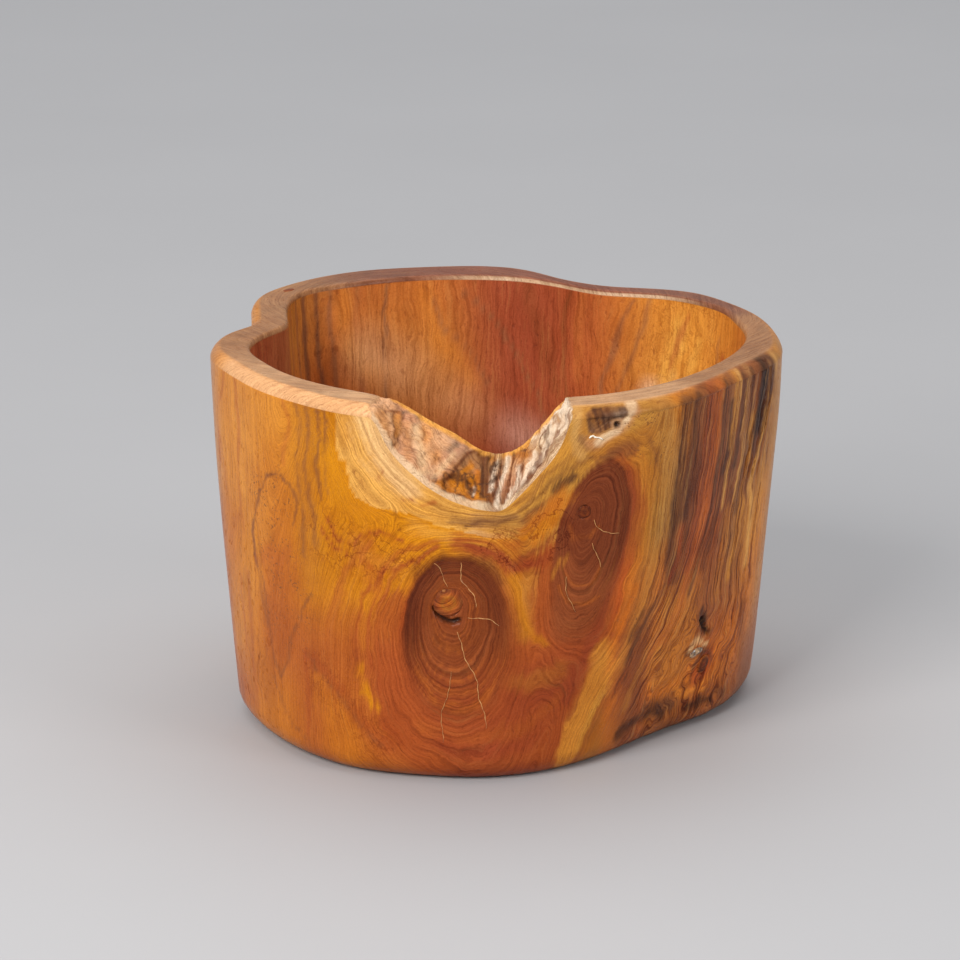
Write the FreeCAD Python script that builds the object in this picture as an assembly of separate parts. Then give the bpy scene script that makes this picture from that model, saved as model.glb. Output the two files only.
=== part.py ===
"""Free-form bowl carved from one lump of teak root, with its knots, crack fills and resin.

Millimetres, +Z up. The bowl stands on z = 0 with the middle of its box on the origin, and
the broken notch in its rim faces -Y. Outlines are polar about the carving axis: degrees
anticlockwise from +X (so 270 is the front), and radii.
"""
import FreeCAD, Part
import math
import os

from FreeCAD import Vector

# ---- driving dimensions ----
HEIGHT = 200.0
FLOOR_THICKNESS = 24.0
BOTTOM_ROUNDING = 14.0
FLOOR_FILLET = 45.0
WALL_GAIN_AT_FLOOR = 6.0      # the wall is this much thicker at the floor than at the rim
FLARE = 1.5                   # how early the wall reaches its rim outline on the way up
BEVEL_HEIGHT = 6.0            # the bevel round the outside of the rim
BEVEL_WIDTH = 5.0
INNER_EDGE = 2.5              # the eased edge round the inside of the rim
RING_STEP = 4                 # degrees between the points of one ring
ROUND_STEPS = 4               # rings in a rounding, and in a wall
WALL_STEPS = 5
SEWING = 0.01                 # the gap that sewing the faces together may close

RIM = [(0, 149), (14, 147), (29, 143.5), (38, 141), (46, 133), (56, 122), (66, 121),
       (75, 129), (84, 144), (95, 152), (105, 154), (118, 158.5), (130, 158.5), (141, 156),
       (149, 152), (158, 141), (167, 133), (174, 132.5), (180, 141), (187, 149), (195, 152),
       (207, 152), (219, 155), (231, 158.5), (243, 163), (257, 160), (271, 156), (286, 159),
       (298, 160), (309, 155), (321, 149), (333, 147.5), (345, 151)]
BASE = [(5, 139), (20, 138), (38, 133), (56, 119), (68, 119), (80, 130), (95, 141),
        (115, 146), (132, 147), (147, 142), (160, 128), (171, 123), (181, 131), (192, 140),
        (207, 146), (225, 154), (240, 160), (257, 158), (271, 154), (285, 142), (300, 127),
        (317, 120), (334, 127), (351, 134)]
INSIDE = [(0, 133), (12, 132), (22, 133), (31, 130), (42, 122), (50, 113), (58, 108),
          (70, 113), (82, 122), (94, 127), (114, 133), (127, 135.5), (139, 138), (146, 134),
          (155, 125), (165, 116), (174, 114), (181, 121), (188, 129), (195, 134),
          (208, 136), (217, 138), (230, 140), (243, 141), (257, 139), (271, 136),
          (285, 138.5), (305, 137), (322, 133), (342, 132)]

# The notch's broken face, left to right: the angle and height of its outer edge, and of
# its inner edge. The face slopes down and outwards through the wall.
NOTCH = [(245.5, 206, 238.5, 203), (248.3, 194, 245.4, 200), (250.1, 181, 249.6, 197.5),
         (253.2, 171, 253.4, 192), (257.6, 160, 257.2, 187), (261.5, 153.5, 261.6, 181.5),
         (266.0, 149, 266.4, 173), (270.8, 147, 270.8, 170.5), (274.3, 156, 274.0, 172.5),
         (278.2, 168, 277.3, 179), (281.0, 177, 280.2, 187.5), (283.0, 190, 283.0, 196.5),
         (284.5, 206, 287.5, 203)]
NOTCH_OVERRUN = 30.0          # the cutter reaches this far past both faces of the wall

# Knots in the wall: angle, height, half width and half height at the skin, depth.
WALL_KNOTS = {
    "knot_front_left": (261.2, 98.0, 7.0, 8.0, 16.0),
    "knot_front_right": (286.2, 144.3, 3.3, 3.6, 12.0),
    "knot_lower_right": (327.1, 36.5, 4.5, 5.5, 12.0),
}
KNOT_TAPER = 0.75             # size at the inner end of a knot against its outer end
PROUD = 5.0                   # a cutting shape starts this far outside the skin
KNOT_GAP = (1.4, 4.0, 7.0)    # gap under the loose knot: to its left, below it, depth
RIM_KNOT = (141.3, 146.3, 2.6, 10.0)     # angle, radius, half width, depth

# Drying checks filled with light filler: (across, height) along each, where across is the
# distance round the front from the 270 degree line, on a circle of radius UNROLL.
UNROLL = 150.0
FILL_WIDTH = 0.8
FILL_DEPTH = 3.0
FILLS = {
    "fill_left_1": [(-30.0, 118.7), (-26.9, 116.0), (-24.3, 109.5), (-23.3, 106.3)],
    "fill_left_2": [(-17.5, 119.4), (-16.9, 110.6), (-13.7, 106.2), (-11.0, 101.2),
                    (-10.0, 95.6)],
    "fill_left_3": [(-13.8, 90.4), (-9.4, 89.6), (-5.0, 89.0), (-1.9, 87.9), (1.2, 85.6)],
    "fill_left_4": [(-19.1, 82.5), (-17.5, 76.2), (-15.6, 70.0), (-11.9, 61.2),
                    (-9.4, 54.4), (-8.1, 45.6), (-4.6, 30.2)],
    "fill_left_5": [(-21.6, 61.2), (-22.1, 55.0), (-24.1, 48.7), (-26.2, 40.0),
                    (-26.9, 31.2), (-26.0, 22.5)],
    "fill_right_1": [(47.4, 139.6), (49.6, 135.6), (52.5, 133.1), (56.2, 130.9),
                     (61.0, 130.4)],
    "fill_right_2": [(46.6, 126.9), (48.7, 123.1), (51.0, 118.7), (51.9, 113.1)],
    "fill_right_3": [(34.1, 110.0), (35.0, 100.0), (36.9, 95.0), (39.4, 90.0)],
}
CHIP = [(44.4, 184.2), (46.2, 185.6), (47.6, 183.9), (49.9, 182.9), (49.2, 181.6),
        (45.6, 182.2)]
CHIP_DEPTH = 2.0

# The weathered pocket under the rim beside the notch, and the worm hole in its corner.
POCKET = [(42.2, 196.0), (46.0, 198.5), (54.0, 199.0), (62.0, 197.5), (59.5, 192.5),
          (54.0, 188.5), (48.5, 185.8), (43.5, 187.5)]
POCKET_DEPTH = 4.0
WORM_HOLE = (292.0, 189.3, 2.3, 9.0)     # angle, height, radius, depth

RESIN_BEAD = (323.4, 45.5, 3.6, 1.6)     # angle, height, radius, how deep its centre sits


def smooth_outline(outline):
    """Radius as a smooth closed function of the angle, through an outline's points."""
    three_turns = [(angle + turn, radius) for turn in (-360, 0, 360) for angle, radius in outline]
    curve = Part.BSplineCurve()
    curve.interpolate(Points=[Vector(angle, radius, 0) for angle, radius in three_turns],
                      Parameters=[float(angle) for angle, _ in three_turns])
    return lambda angle: curve.value(angle % 360).y


rim_radius = smooth_outline(RIM)
base_radius = smooth_outline(BASE)
inside_radius = smooth_outline(INSIDE)


def wall_radius(angle, height):
    """Outer face of the wall, before the rounding at the bottom and the bevel at the top."""
    rise = 1 - (1 - min(height / HEIGHT, 1.0)) ** FLARE
    base = base_radius(angle)
    return base + (rim_radius(angle) + BEVEL_WIDTH / 2 - base) * rise


def cavity_radius(angle, height):
    """Inner face of the wall, before the fillet at the floor and the eased edge."""
    share = 1 - min(height / HEIGHT, 1.0)
    lean = wall_radius(angle, height) - wall_radius(angle, HEIGHT)
    return inside_radius(angle) + lean - WALL_GAIN_AT_FLOOR * share


def middle_of_box():
    """The carving axis's place, with the middle of the bowl's box on the origin."""
    heights = (BOTTOM_ROUNDING, HEIGHT / 2, HEIGHT - BEVEL_HEIGHT)
    points = [(wall_radius(angle, height), math.radians(angle))
              for angle in range(360) for height in heights]
    across = [radius * math.cos(turn) for radius, turn in points]
    along = [radius * math.sin(turn) for radius, turn in points]
    return Vector(-(min(across) + max(across)) / 2, -(min(along) + max(along)) / 2, 0)


AXIS = middle_of_box()


def place(angle, radius, height):
    """A point given by its angle and radius about the carving axis."""
    turn = math.radians(angle)
    return AXIS + Vector(radius * math.cos(turn), radius * math.sin(turn), height)


def outwards(angle):
    turn = math.radians(angle)
    return Vector(math.cos(turn), math.sin(turn), 0)


def closed_wire(points):
    """Smooth closed curve with evenly spaced knots, so that stacked rings line up."""
    curve = Part.BSplineCurve()
    knots = [float(knot) for knot in range(len(points) + 1)]
    curve.interpolate(Points=points, PeriodicFlag=True, Parameters=knots)
    return Part.Wire([curve.toShape()])


def ring(radius_at, height):
    """One level outline, from a radius given as a function of the angle."""
    return closed_wire([place(angle, radius_at(angle), height)
                        for angle in range(0, 360, RING_STEP)])


def tube(layers):
    """Open wall through level rings, each given as (height, radius function)."""
    wires = [ring(radius_at, height) for height, radius_at in layers]
    return Part.makeLoft(wires, False, len(wires) == 2).Faces


def quarter_round(radius_at, start, size):
    """Rings of a rounding that turns from level, at height start, up into a wall."""
    layers = []
    for step in range(ROUND_STEPS + 1):
        turn = step / ROUND_STEPS * math.pi / 2
        height = start + size * (1 - math.cos(turn))
        drawn_in = size * (1 - math.sin(turn))
        layers.append((height, lambda angle, h=height, d=drawn_in: radius_at(angle, h) - d))
    return layers


def wall(radius_at, start, end):
    """Evenly spaced rings of a wall."""
    heights = [start + (end - start) * step / WALL_STEPS for step in range(WALL_STEPS + 1)]
    return [(height, lambda angle, h=height: radius_at(angle, h)) for height in heights]


def whole_bowl():
    """The bowl before its notch: faces sewn along their shared rings into one solid."""
    bottom = quarter_round(wall_radius, 0.0, BOTTOM_ROUNDING)
    outer = wall(wall_radius, BOTTOM_ROUNDING, HEIGHT - BEVEL_HEIGHT)
    floor = quarter_round(cavity_radius, FLOOR_THICKNESS, FLOOR_FILLET)
    inner = wall(cavity_radius, FLOOR_THICKNESS + FLOOR_FILLET, HEIGHT - INNER_EDGE)
    top_outer = (HEIGHT, lambda angle: wall_radius(angle, HEIGHT) - BEVEL_WIDTH)
    top_inner = (HEIGHT, lambda angle: cavity_radius(angle, HEIGHT) + INNER_EDGE)
    bevel = [outer[-1], top_outer]
    eased_edge = [inner[-1], top_inner]
    faces = [face for layers in (bottom, outer, bevel, floor, inner, eased_edge)
             for face in tube(layers)]
    rings = [ring(radius_at, height) for height, radius_at in
             (bottom[0], floor[0], top_outer, top_inner)]
    faces += [Part.Face(rings[0]), Part.Face(rings[1])]
    faces.append(Part.makeFace(rings[2:], "Part::FaceMakerBullseye"))
    shell = Part.makeShell(faces)
    shell.sewShape(SEWING)
    return Part.makeSolid(shell)


def notch_cutter():
    """Everything above the broken face: a ruled face between two splines, swept upwards."""
    outer_points = []
    inner_points = []
    for outer_angle, outer_height, inner_angle, inner_height in NOTCH:
        outer = place(outer_angle, wall_radius(outer_angle, outer_height), outer_height)
        inner = place(inner_angle, cavity_radius(inner_angle, inner_height), inner_height)
        step = (outer - inner).normalize() * NOTCH_OVERRUN
        outer_points.append(outer + step)
        inner_points.append(inner - step)
    edges = []
    for points in (inner_points, outer_points):
        curve = Part.BSplineCurve()
        curve.interpolate(Points=points)
        edges.append(curve.toShape())
    return Part.makeRuledSurface(edges[0], edges[1]).extrude(Vector(0, 0, HEIGHT / 2))


def oval_plug(centre, axis, half_width, half_height, depth):
    """Tapered oval plug: it starts proud of centre and narrows inwards along -axis."""
    across = Vector(0, 0, 1).cross(axis)
    wires = []
    for along, size in ((PROUD, 1.0), (-depth, KNOT_TAPER)):
        points = []
        for turn in range(0, 360, 15):
            sideways = across * (half_width * size * math.cos(math.radians(turn)))
            upwards = Vector(0, 0, half_height * size * math.sin(math.radians(turn)))
            points.append(centre + axis * along + sideways + upwards)
        wires.append(closed_wire(points))
    return Part.makeLoft(wires, True, True)


def wall_point(angle, height):
    return place(angle, wall_radius(angle, height), height)


def unrolled_point(across, height):
    return wall_point(270 + math.degrees(across / UNROLL), height)


def prism(outline, depth):
    """Prism over an outline drawn on the unrolled front, from outside the skin to depth."""
    points = [unrolled_point(across, height) for across, height in outline]
    middle = sum(points, Vector()) * (1 / len(points))
    axis = Vector(middle.x, middle.y, 0).normalize()
    front = middle + axis * PROUD
    flat = [point + axis * (front - point).dot(axis) for point in points]
    face = Part.Face(Part.makePolygon(flat + flat[:1]))
    return face.extrude(axis * -(PROUD + depth))


def ribbon_outline(line):
    """Closed outline of a line drawn FILL_WIDTH wide, pointed at both ends."""
    left = []
    right = []
    for before, point, after in zip(line, line[1:], line[2:]):
        along = Vector(after[0] - before[0], after[1] - before[1], 0).normalize()
        side = (-along.y * FILL_WIDTH / 2, along.x * FILL_WIDTH / 2)
        left.append((point[0] + side[0], point[1] + side[1]))
        right.append((point[0] - side[0], point[1] - side[1]))
    return [line[0]] + left + [line[-1]] + right[::-1]


def cutters():
    """The shape of every knot, fill and bead by name, proud of the skin where it is flush."""
    shapes = {}
    for name, (angle, height, half_width, half_height, depth) in WALL_KNOTS.items():
        shapes[name] = oval_plug(wall_point(angle, height), outwards(angle), half_width,
                                 half_height, depth)
    angle, radius, half_width, depth = RIM_KNOT
    rim_centre = place(angle, radius, HEIGHT - depth)
    shapes["knot_rim"] = Part.makeCone(half_width * KNOT_TAPER, half_width, depth, rim_centre)
    for name, line in FILLS.items():
        shapes[name] = prism(ribbon_outline(line), FILL_DEPTH)
    shapes["filler_chip"] = prism(CHIP, CHIP_DEPTH)
    angle, height, radius, sunk = RESIN_BEAD
    centre = wall_point(angle, height) - outwards(angle) * sunk
    shapes["resin_bead"] = Part.makeSphere(radius, centre)
    return shapes


def hollows():
    """The pocket and worm hole beside the notch, and the gap under the loose knot."""
    angle, height, radius, depth = WORM_HOLE
    mouth = wall_point(angle, height) + outwards(angle) * PROUD
    worm_hole = Part.makeCylinder(radius, depth + PROUD, mouth, outwards(angle) * -1)
    to_left, below, gap_depth = KNOT_GAP
    angle, height, half_width, half_height, _ = WALL_KNOTS["knot_front_left"]
    across = Vector(0, 0, 1).cross(outwards(angle))
    centre = wall_point(angle, height) - across * to_left - Vector(0, 0, below)
    gap = oval_plug(centre, outwards(angle), half_width - to_left, half_height, gap_depth)
    return [prism(POCKET, POCKET_DEPTH), worm_hole, gap]


def build():
    """Every piece by name. Each is cut out of the body with its own shape, so they meet."""
    carved = whole_bowl().cut(notch_cutter())
    shapes = cutters()
    pieces = {name: shape.common(carved) for name, shape in shapes.items()}
    pieces["resin_bead"] = shapes["resin_bead"]
    pieces["bowl_body"] = carved.cut(list(shapes.values())).cut(hollows())
    return pieces


os.makedirs("parts", exist_ok=True)
for node, shape in build().items():
    solids = shape.Solids
    whole = solids[0] if len(solids) == 1 else Part.makeCompound(solids)
    whole.exportStep(f"parts/{node}.step")
    box = whole.BoundBox
    print(f"{node}: {len(solids)} solid, {whole.Volume / 1000:.2f} cm3, valid {whole.isValid()}, "
          f"x {box.XMin:.1f}..{box.XMax:.1f} y {box.YMin:.1f}..{box.YMax:.1f} "
          f"z {box.ZMin:.1f}..{box.ZMax:.1f}")
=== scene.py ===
"""Carved root-wood bowl: the visual model, laid over the CAD pieces in the same frame.

Lengths below are millimetres unless a name says otherwise. Angles are degrees counter-clockwise
from +X, seen from above; 270 is the front. A place on the outside is given as (across, height):
across is measured along the wall from the front, positive to the right, on a 150 mm circle.
"""

import math

import bpy
import numpy as np
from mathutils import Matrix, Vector


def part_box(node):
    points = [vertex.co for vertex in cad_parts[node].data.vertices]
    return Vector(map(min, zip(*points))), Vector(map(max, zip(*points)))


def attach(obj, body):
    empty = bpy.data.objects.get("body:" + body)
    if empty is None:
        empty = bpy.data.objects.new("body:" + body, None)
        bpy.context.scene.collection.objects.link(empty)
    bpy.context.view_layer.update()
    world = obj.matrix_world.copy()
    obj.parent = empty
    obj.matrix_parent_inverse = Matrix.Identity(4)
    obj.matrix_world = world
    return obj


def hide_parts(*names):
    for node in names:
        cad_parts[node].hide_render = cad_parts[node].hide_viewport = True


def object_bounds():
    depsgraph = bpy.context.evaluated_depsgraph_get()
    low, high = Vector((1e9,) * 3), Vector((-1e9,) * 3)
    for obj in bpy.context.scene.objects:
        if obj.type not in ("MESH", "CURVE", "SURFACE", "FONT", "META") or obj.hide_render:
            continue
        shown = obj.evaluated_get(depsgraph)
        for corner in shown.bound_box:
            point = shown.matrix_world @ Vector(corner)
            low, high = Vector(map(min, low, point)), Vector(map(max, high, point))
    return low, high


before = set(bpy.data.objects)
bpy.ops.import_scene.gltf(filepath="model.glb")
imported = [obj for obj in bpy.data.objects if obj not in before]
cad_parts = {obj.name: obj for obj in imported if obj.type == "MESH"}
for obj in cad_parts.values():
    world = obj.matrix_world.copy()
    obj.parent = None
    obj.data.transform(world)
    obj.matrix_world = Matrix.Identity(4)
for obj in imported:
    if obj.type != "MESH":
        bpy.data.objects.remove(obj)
cad_low, cad_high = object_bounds()

MM = 0.001
UNROLL = 150.0                  # radius on which "across" is measured
UNROLL_INSIDE = 130.0           # the same for the hollow's wall
INSIDE_LENGTH = 816.8           # once round the hollow on that circle
INSIDE_SEAM = 440.0             # where the two ends of the hollow's ground colours meet

# ---------------------------------------------------------------- the CAD bowl's outlines, repeated

HEIGHT = round(cad_high[2] / MM, 3)
FLOOR_THICKNESS = 24.0
BOTTOM_ROUNDING = 14.0
FLOOR_FILLET = 45.0
WALL_GAIN_AT_FLOOR = 6.0
FLARE = 1.5
BEVEL_HEIGHT = 6.0
BEVEL_WIDTH = 5.0
INNER_EDGE = 2.5
BROKEN_EDGE = 1.3               # how far the broken notch's two edges are rounded over

RIM = [
    (0, 149), (14, 147), (29, 143.5), (38, 141), (46, 133), (56, 122), (66, 121), (75, 129),
    (84, 144), (95, 152), (105, 154), (118, 158.5), (130, 158.5), (141, 156), (149, 152),
    (158, 141), (167, 133), (174, 132.5), (180, 141), (187, 149), (195, 152), (207, 152),
    (219, 155), (231, 158.5), (243, 163), (257, 160), (271, 156), (286, 159), (298, 160),
    (309, 155), (321, 149), (333, 147.5), (345, 151),
]
BASE = [
    (5, 139), (20, 138), (38, 133), (56, 119), (68, 119), (80, 130), (95, 141), (115, 146),
    (132, 147), (147, 142), (160, 128), (171, 123), (181, 131), (192, 140), (207, 146),
    (225, 154), (240, 160), (257, 158), (271, 154), (285, 142), (300, 127), (317, 120),
    (334, 127), (351, 134),
]
INSIDE = [
    (0, 133), (12, 132), (22, 133), (31, 130), (42, 122), (50, 113), (58, 108), (70, 113),
    (82, 122), (94, 127), (114, 133), (127, 135.5), (139, 138), (146, 134), (155, 125),
    (165, 116), (174, 114), (181, 121), (188, 129), (195, 134), (208, 136), (217, 138),
    (230, 140), (243, 141), (257, 139), (271, 136), (285, 138.5), (305, 137), (322, 133),
    (342, 132),
]
NOTCH_OUTER = [
    (243, 230), (245.5, 206), (248.3, 194), (250.1, 181), (253.2, 171), (257.6, 160), (261.5, 153.5),
    (266.0, 149), (270.8, 147), (274.3, 156), (278.2, 168), (281.0, 177), (283.0, 190), (284.5, 206),
    (286, 230),
]
NOTCH_INNER = [
    (235, 218), (238.5, 203), (245.4, 200), (249.6, 197.5), (253.4, 192), (257.2, 187), (261.6, 181.5),
    (266.4, 173), (270.8, 170.5), (274.0, 172.5), (277.3, 179), (280.2, 187.5), (283.0, 196.5),
    (287.5, 203), (291, 218),
]


def periodic_spline(points):
    """Smooth closed curve through (angle, radius) points, as a function of the angle."""
    angle = np.array([a for a, _ in points], float)
    value = np.array([v for _, v in points], float)
    count = len(points)
    step = np.diff(np.append(angle, angle[0] + 360.0))
    system = np.zeros((count, count))
    slopes = np.zeros(count)
    for i in range(count):
        after = (i + 1) % count
        system[i, i - 1] += step[i - 1]
        system[i, i] += 2.0 * (step[i - 1] + step[i])
        system[i, after] += step[i]
        slopes[i] = 6.0 * ((value[after] - value[i]) / step[i] - (value[i] - value[i - 1]) / step[i - 1])
    bend = np.linalg.solve(system, slopes)

    def curve(at):
        at = np.mod(np.asarray(at, float) - angle[0], 360.0) + angle[0]
        here = np.clip(np.searchsorted(angle, at, side="right") - 1, 0, count - 1)
        there = (here + 1) % count
        span = step[here]
        gone = at - angle[here]
        left = span - gone
        cubic = (bend[here] * left**3 + bend[there] * gone**3) / (6.0 * span)
        return (cubic + (value[here] / span - bend[here] * span / 6.0) * left
                + (value[there] / span - bend[there] * span / 6.0) * gone)

    return curve


rim_outline = periodic_spline(RIM)
base_outline = periodic_spline(BASE)
inside_outline = periodic_spline(INSIDE)


def wall_radius(angle, z):
    """Radius of the outside: it flares from the base's outline to the rim's."""
    base = base_outline(angle)
    rise = rim_outline(angle) + BEVEL_WIDTH / 2.0 - base
    return base + rise * (1.0 - np.clip(1.0 - z / HEIGHT, 0.0, 1.0) ** FLARE)


def cavity_radius(angle, z):
    """Radius of the hollow: it leans with the outside, and the wall thickens downwards."""
    lean = wall_radius(angle, z) - wall_radius(angle, HEIGHT)
    return inside_outline(angle) + lean - WALL_GAIN_AT_FLOOR * (1.0 - z / HEIGHT)


def axis_in_frame():
    """Where the outlines' centre stands, from the sides and the back of the CAD bowl."""
    low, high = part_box("bowl_body")
    turn = np.radians(np.arange(0.0, 360.0, 0.5))
    reach = wall_radius(np.degrees(turn), HEIGHT - BEVEL_HEIGHT)
    x, y = reach * np.cos(turn), reach * np.sin(turn)
    return (low[0] + high[0]) / 2.0 / MM - (x.min() + x.max()) / 2.0, high[1] / MM - y.max()


AXIS = axis_in_frame()


def across_at(angle):
    """How far across from the front an angle lies, along the wall."""
    return math.radians(angle - 270.0) * UNROLL



def edge_height(edge, angle):
    """Height of one edge of the broken notch, its corners softened over a degree or so."""
    at = [a for a, _ in edge]
    z = [h for _, h in edge]
    return np.mean([np.interp(angle + shift, at, z) for shift in (-1.2, -0.6, 0.0, 0.6, 1.2)], axis=0)


# ---------------------------------------------------------------- small numeric tools


def ease(low, high, value):
    """0 below low, 1 above high, and smooth between."""
    t = np.clip((value - low) / (high - low), 0.0, 1.0)
    return t * t * (3.0 - 2.0 * t)


def soft_min(a, b, width):
    """The lower of two fields, rounded where they cross."""
    near = np.maximum(width - np.abs(a - b), 0.0) / width
    return np.minimum(a, b) - near * near * width / 4.0


LATTICE = np.random.default_rng(41).random((32, 32, 32))


def noise(points, size, octaves=3, seed=0):
    """Smooth cloud noise from -1 to 1; size is the width of its largest lumps."""
    total = np.zeros(points.shape[:-1])
    strength, reach = 1.0, 0.0
    for octave in range(octaves):
        place = points / size * 2.0**octave + 7.31 * (seed + 3 * octave) + 0.37
        cell = np.floor(place).astype(int)
        part = place - cell
        part = part * part * (3.0 - 2.0 * part)
        level = np.zeros(points.shape[:-1])
        for corner in range(8):
            bits = np.array([corner & 1, (corner >> 1) & 1, (corner >> 2) & 1])
            x, y, z = np.moveaxis((cell + bits) % 32, -1, 0)
            weight = np.prod(np.where(bits == 1, part, 1.0 - part), axis=-1)
            level += LATTICE[x, y, z] * weight
        total += strength * (2.0 * level - 1.0)
        reach += strength
        strength *= 0.5
    return total / reach * 1.6


def path_distance(x, y, path):
    """Distance from each place to a line through the given points."""
    best = np.full(x.shape, 1e9)
    for (ax, ay), (bx, by) in zip(path, path[1:]):
        dx, dy = bx - ax, by - ay
        along = np.clip(((x - ax) * dx + (y - ay) * dy) / (dx * dx + dy * dy), 0.0, 1.0)
        best = np.minimum(best, np.hypot(x - ax - along * dx, y - ay - along * dy))
    return best


def inside_outline_mask(x, y, outline):
    """True for places inside a closed outline."""
    result = np.zeros(x.shape, bool)
    for (ax, ay), (bx, by) in zip(outline, outline[1:] + outline[:1]):
        crosses = (ay > y) != (by > y)
        rise = np.where(by == ay, 1e-9, by - ay)
        result ^= crosses & (x < (bx - ax) * (y - ay) / rise + ax)
    return result


def near_path(x, y, path, inner, outer):
    """1 within inner of a path, falling to 0 at outer."""
    return 1.0 - ease(inner, outer, path_distance(x, y, path))


def signed_distance(x, y, outline):
    """Distance to a closed outline, negative inside."""
    away = path_distance(x, y, outline + outline[:1])
    return np.where(inside_outline_mask(x, y, outline), -away, away)


def linear(code):
    """A colour code as linear red, green, blue."""
    parts = np.array([int(code[i:i + 2], 16) for i in (1, 3, 5)]) / 255.0
    return np.where(parts <= 0.04045, parts / 12.92, ((parts + 0.055) / 1.055) ** 2.4)


COLOURS = {name: linear(code) for name, code in {
    "amber": "#dd9236", "honey": "#d98b28", "gold": "#cf8414", "yellow": "#dc900f",
    "orange": "#cd7a22", "burnt": "#ba652a", "tan": "#cf9560", "straw": "#cfa05c",
    "sap": "#f2b85c", "sapdeep": "#e3a240", "sapshade": "#be8842", "khaki": "#c78f3c",
    "olive": "#b77a34", "bronze": "#bd782c", "copper": "#bb6626", "rust": "#ab5224",
    "brick": "#9c4626", "heart": "#8a451f", "heartdark": "#6e341b", "deep": "#72351d",
    "redbrown": "#98502a", "brown": "#8b5330", "umber": "#78482d",
    "taupe": "#9b7046", "dark": "#523225", "black": "#2e1c16", "cream": "#efd3ac",
    "pink": "#e8b993", "rose": "#d6a183", "white": "#fbf0e4", "lilac": "#b59c8e",
    "grey": "#8f7a6a", "clay": "#b08158", "sand": "#c2946a", "walnut": "#8e5c45",
    "backrim": "#915a44", "rimlight": "#dcb083",
}.items()}


def brush(tone, x, y, strokes, feather=0.0):
    """Paints strokes of (colour, half width, softness, strength, path) over the tone.

    Feather is a field from -1 to 1 that frays the strokes' edges along the grain.
    """
    for name, half_width, softness, strength, path in strokes:
        away = path_distance(x, y, path) + feather * (0.5 + 0.55 * softness)
        cover = strength * (1.0 - ease(half_width - softness / 2.0, half_width + softness, away))
        tone += cover[..., None] * (COLOURS[name] - tone)


def blend_in(tone, name, share):
    """Moves the tone towards one colour by a share given for every place."""
    tone += share[..., None] * (COLOURS[name] - tone)


def darken_rings(tone, scale, rings, share):
    """Darkens rings of (place, width, strength) round a figure."""
    for at, width, strength in rings:
        line = strength * share * np.exp(-((scale - at) / width) ** 2)
        tone *= 1.0 - line[..., None] * [0.7, 0.9, 1.0]


def tint_rings(tone, name, scale, rings, share):
    """Tints rings of (place, width, strength) round a figure with one colour."""
    for at, width, strength in rings:
        blend_in(tone, name, strength * share * np.exp(-((scale - at) / width) ** 2))


def wash(x, y, spots, reach_x, reach_y):
    """A smooth ground colour blended from (x, y, colour) spots."""
    total = np.zeros(x.shape + (3,))
    weights = np.full(x.shape, 1e-12)
    for at_x, at_y, name in spots:
        weight = np.exp(-((x - at_x) / reach_x) ** 2 - ((y - at_y) / reach_y) ** 2) + 1e-9
        total += weight[..., None] * COLOURS[name]
        weights += weight
    return total / weights[..., None]


# ---------------------------------------------------------------- the carved body as one closed skin

SHELL_COLUMNS = [(246.0, 300.0, 0.28), (300.0, 342.0, 0.5), (342.0, 560.0, 1.8), (560.0, 606.0, 0.55)]
LINING_COLUMNS = [(4.0, 176.0, 0.65), (176.0, 236.0, 2.4), (236.0, 290.0, 0.6), (290.0, 364.0, 2.4)]
FINE_FROM = 125.0               # above this height the rows close up towards the notch's edge
TOP_ROWS = 42
LINING_ROWS = 32


def spread(ranges):
    """Column angles from (start, end, step) ranges."""
    return np.mod(np.concatenate([np.arange(a, b - step / 2.0, step) for a, b, step in ranges]), 360.0)


shell_angles = spread(SHELL_COLUMNS)
lining_angles = spread(LINING_COLUMNS)


def wall_rows():
    """Heights of the outer wall's rows, closest where the figure is finest."""
    rows = [BOTTOM_ROUNDING]
    while rows[-1] < HEIGHT - BEVEL_HEIGHT:
        z = rows[-1]
        fine = 84.0 <= z < 112.0 or 134.0 <= z < 152.0 or z >= 180.0
        rows.append(z + (1.05 if fine else 2.3))
    rows[-1] = HEIGHT - BEVEL_HEIGHT
    return rows


def top_height(angle, share):
    """Height over the wall's thickness: flat rim, bevel and eased edge, or the broken notch."""
    width = wall_radius(angle, HEIGHT - BEVEL_HEIGHT) - cavity_radius(angle, HEIGHT)
    from_out = share * width
    from_in = (1.0 - share) * width
    bevel = np.clip(1.0 - from_out / BEVEL_WIDTH, 0.0, 1.0)
    rim = HEIGHT - BEVEL_HEIGHT * (1.0 - (1.0 - bevel**1.4) ** (1.0 / 1.4))
    eased = np.clip(1.0 - from_in / INNER_EDGE, 0.0, 1.0)
    rim = rim - INNER_EDGE * (1.0 - np.sqrt(1.0 - eased**2))
    face = (1.0 - share) * edge_height(NOTCH_OUTER, angle) + share * edge_height(NOTCH_INNER, angle)
    for distance in (from_out, from_in):
        worn = np.clip(1.0 - distance / BROKEN_EDGE, 0.0, 1.0)
        face = face - BROKEN_EDGE * (1.0 - np.sqrt(1.0 - worn**2))
    torn = ease(-3.0, 1.0, rim - face)
    return soft_min(rim, face, np.where(angle < 265.0, 6.0, 3.0)), torn


class Grid:
    """Rows of points round the bowl: radius, height, side, share of the wall's thickness, tornness.

    Side is 0 outside, 1 over the top and 2 inside; share runs over the top from outside to inside.
    """

    def __init__(self, columns):
        self.angles = columns
        self.rows = []

    def add(self, r, z, side, share=0.0, torn=0.0):
        values = [np.broadcast_to(v, self.angles.shape) for v in (self.angles, r, z, side, share, torn)]
        self.rows.append(np.stack(values))

    def table(self):
        return np.stack(self.rows, axis=1)


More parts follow.
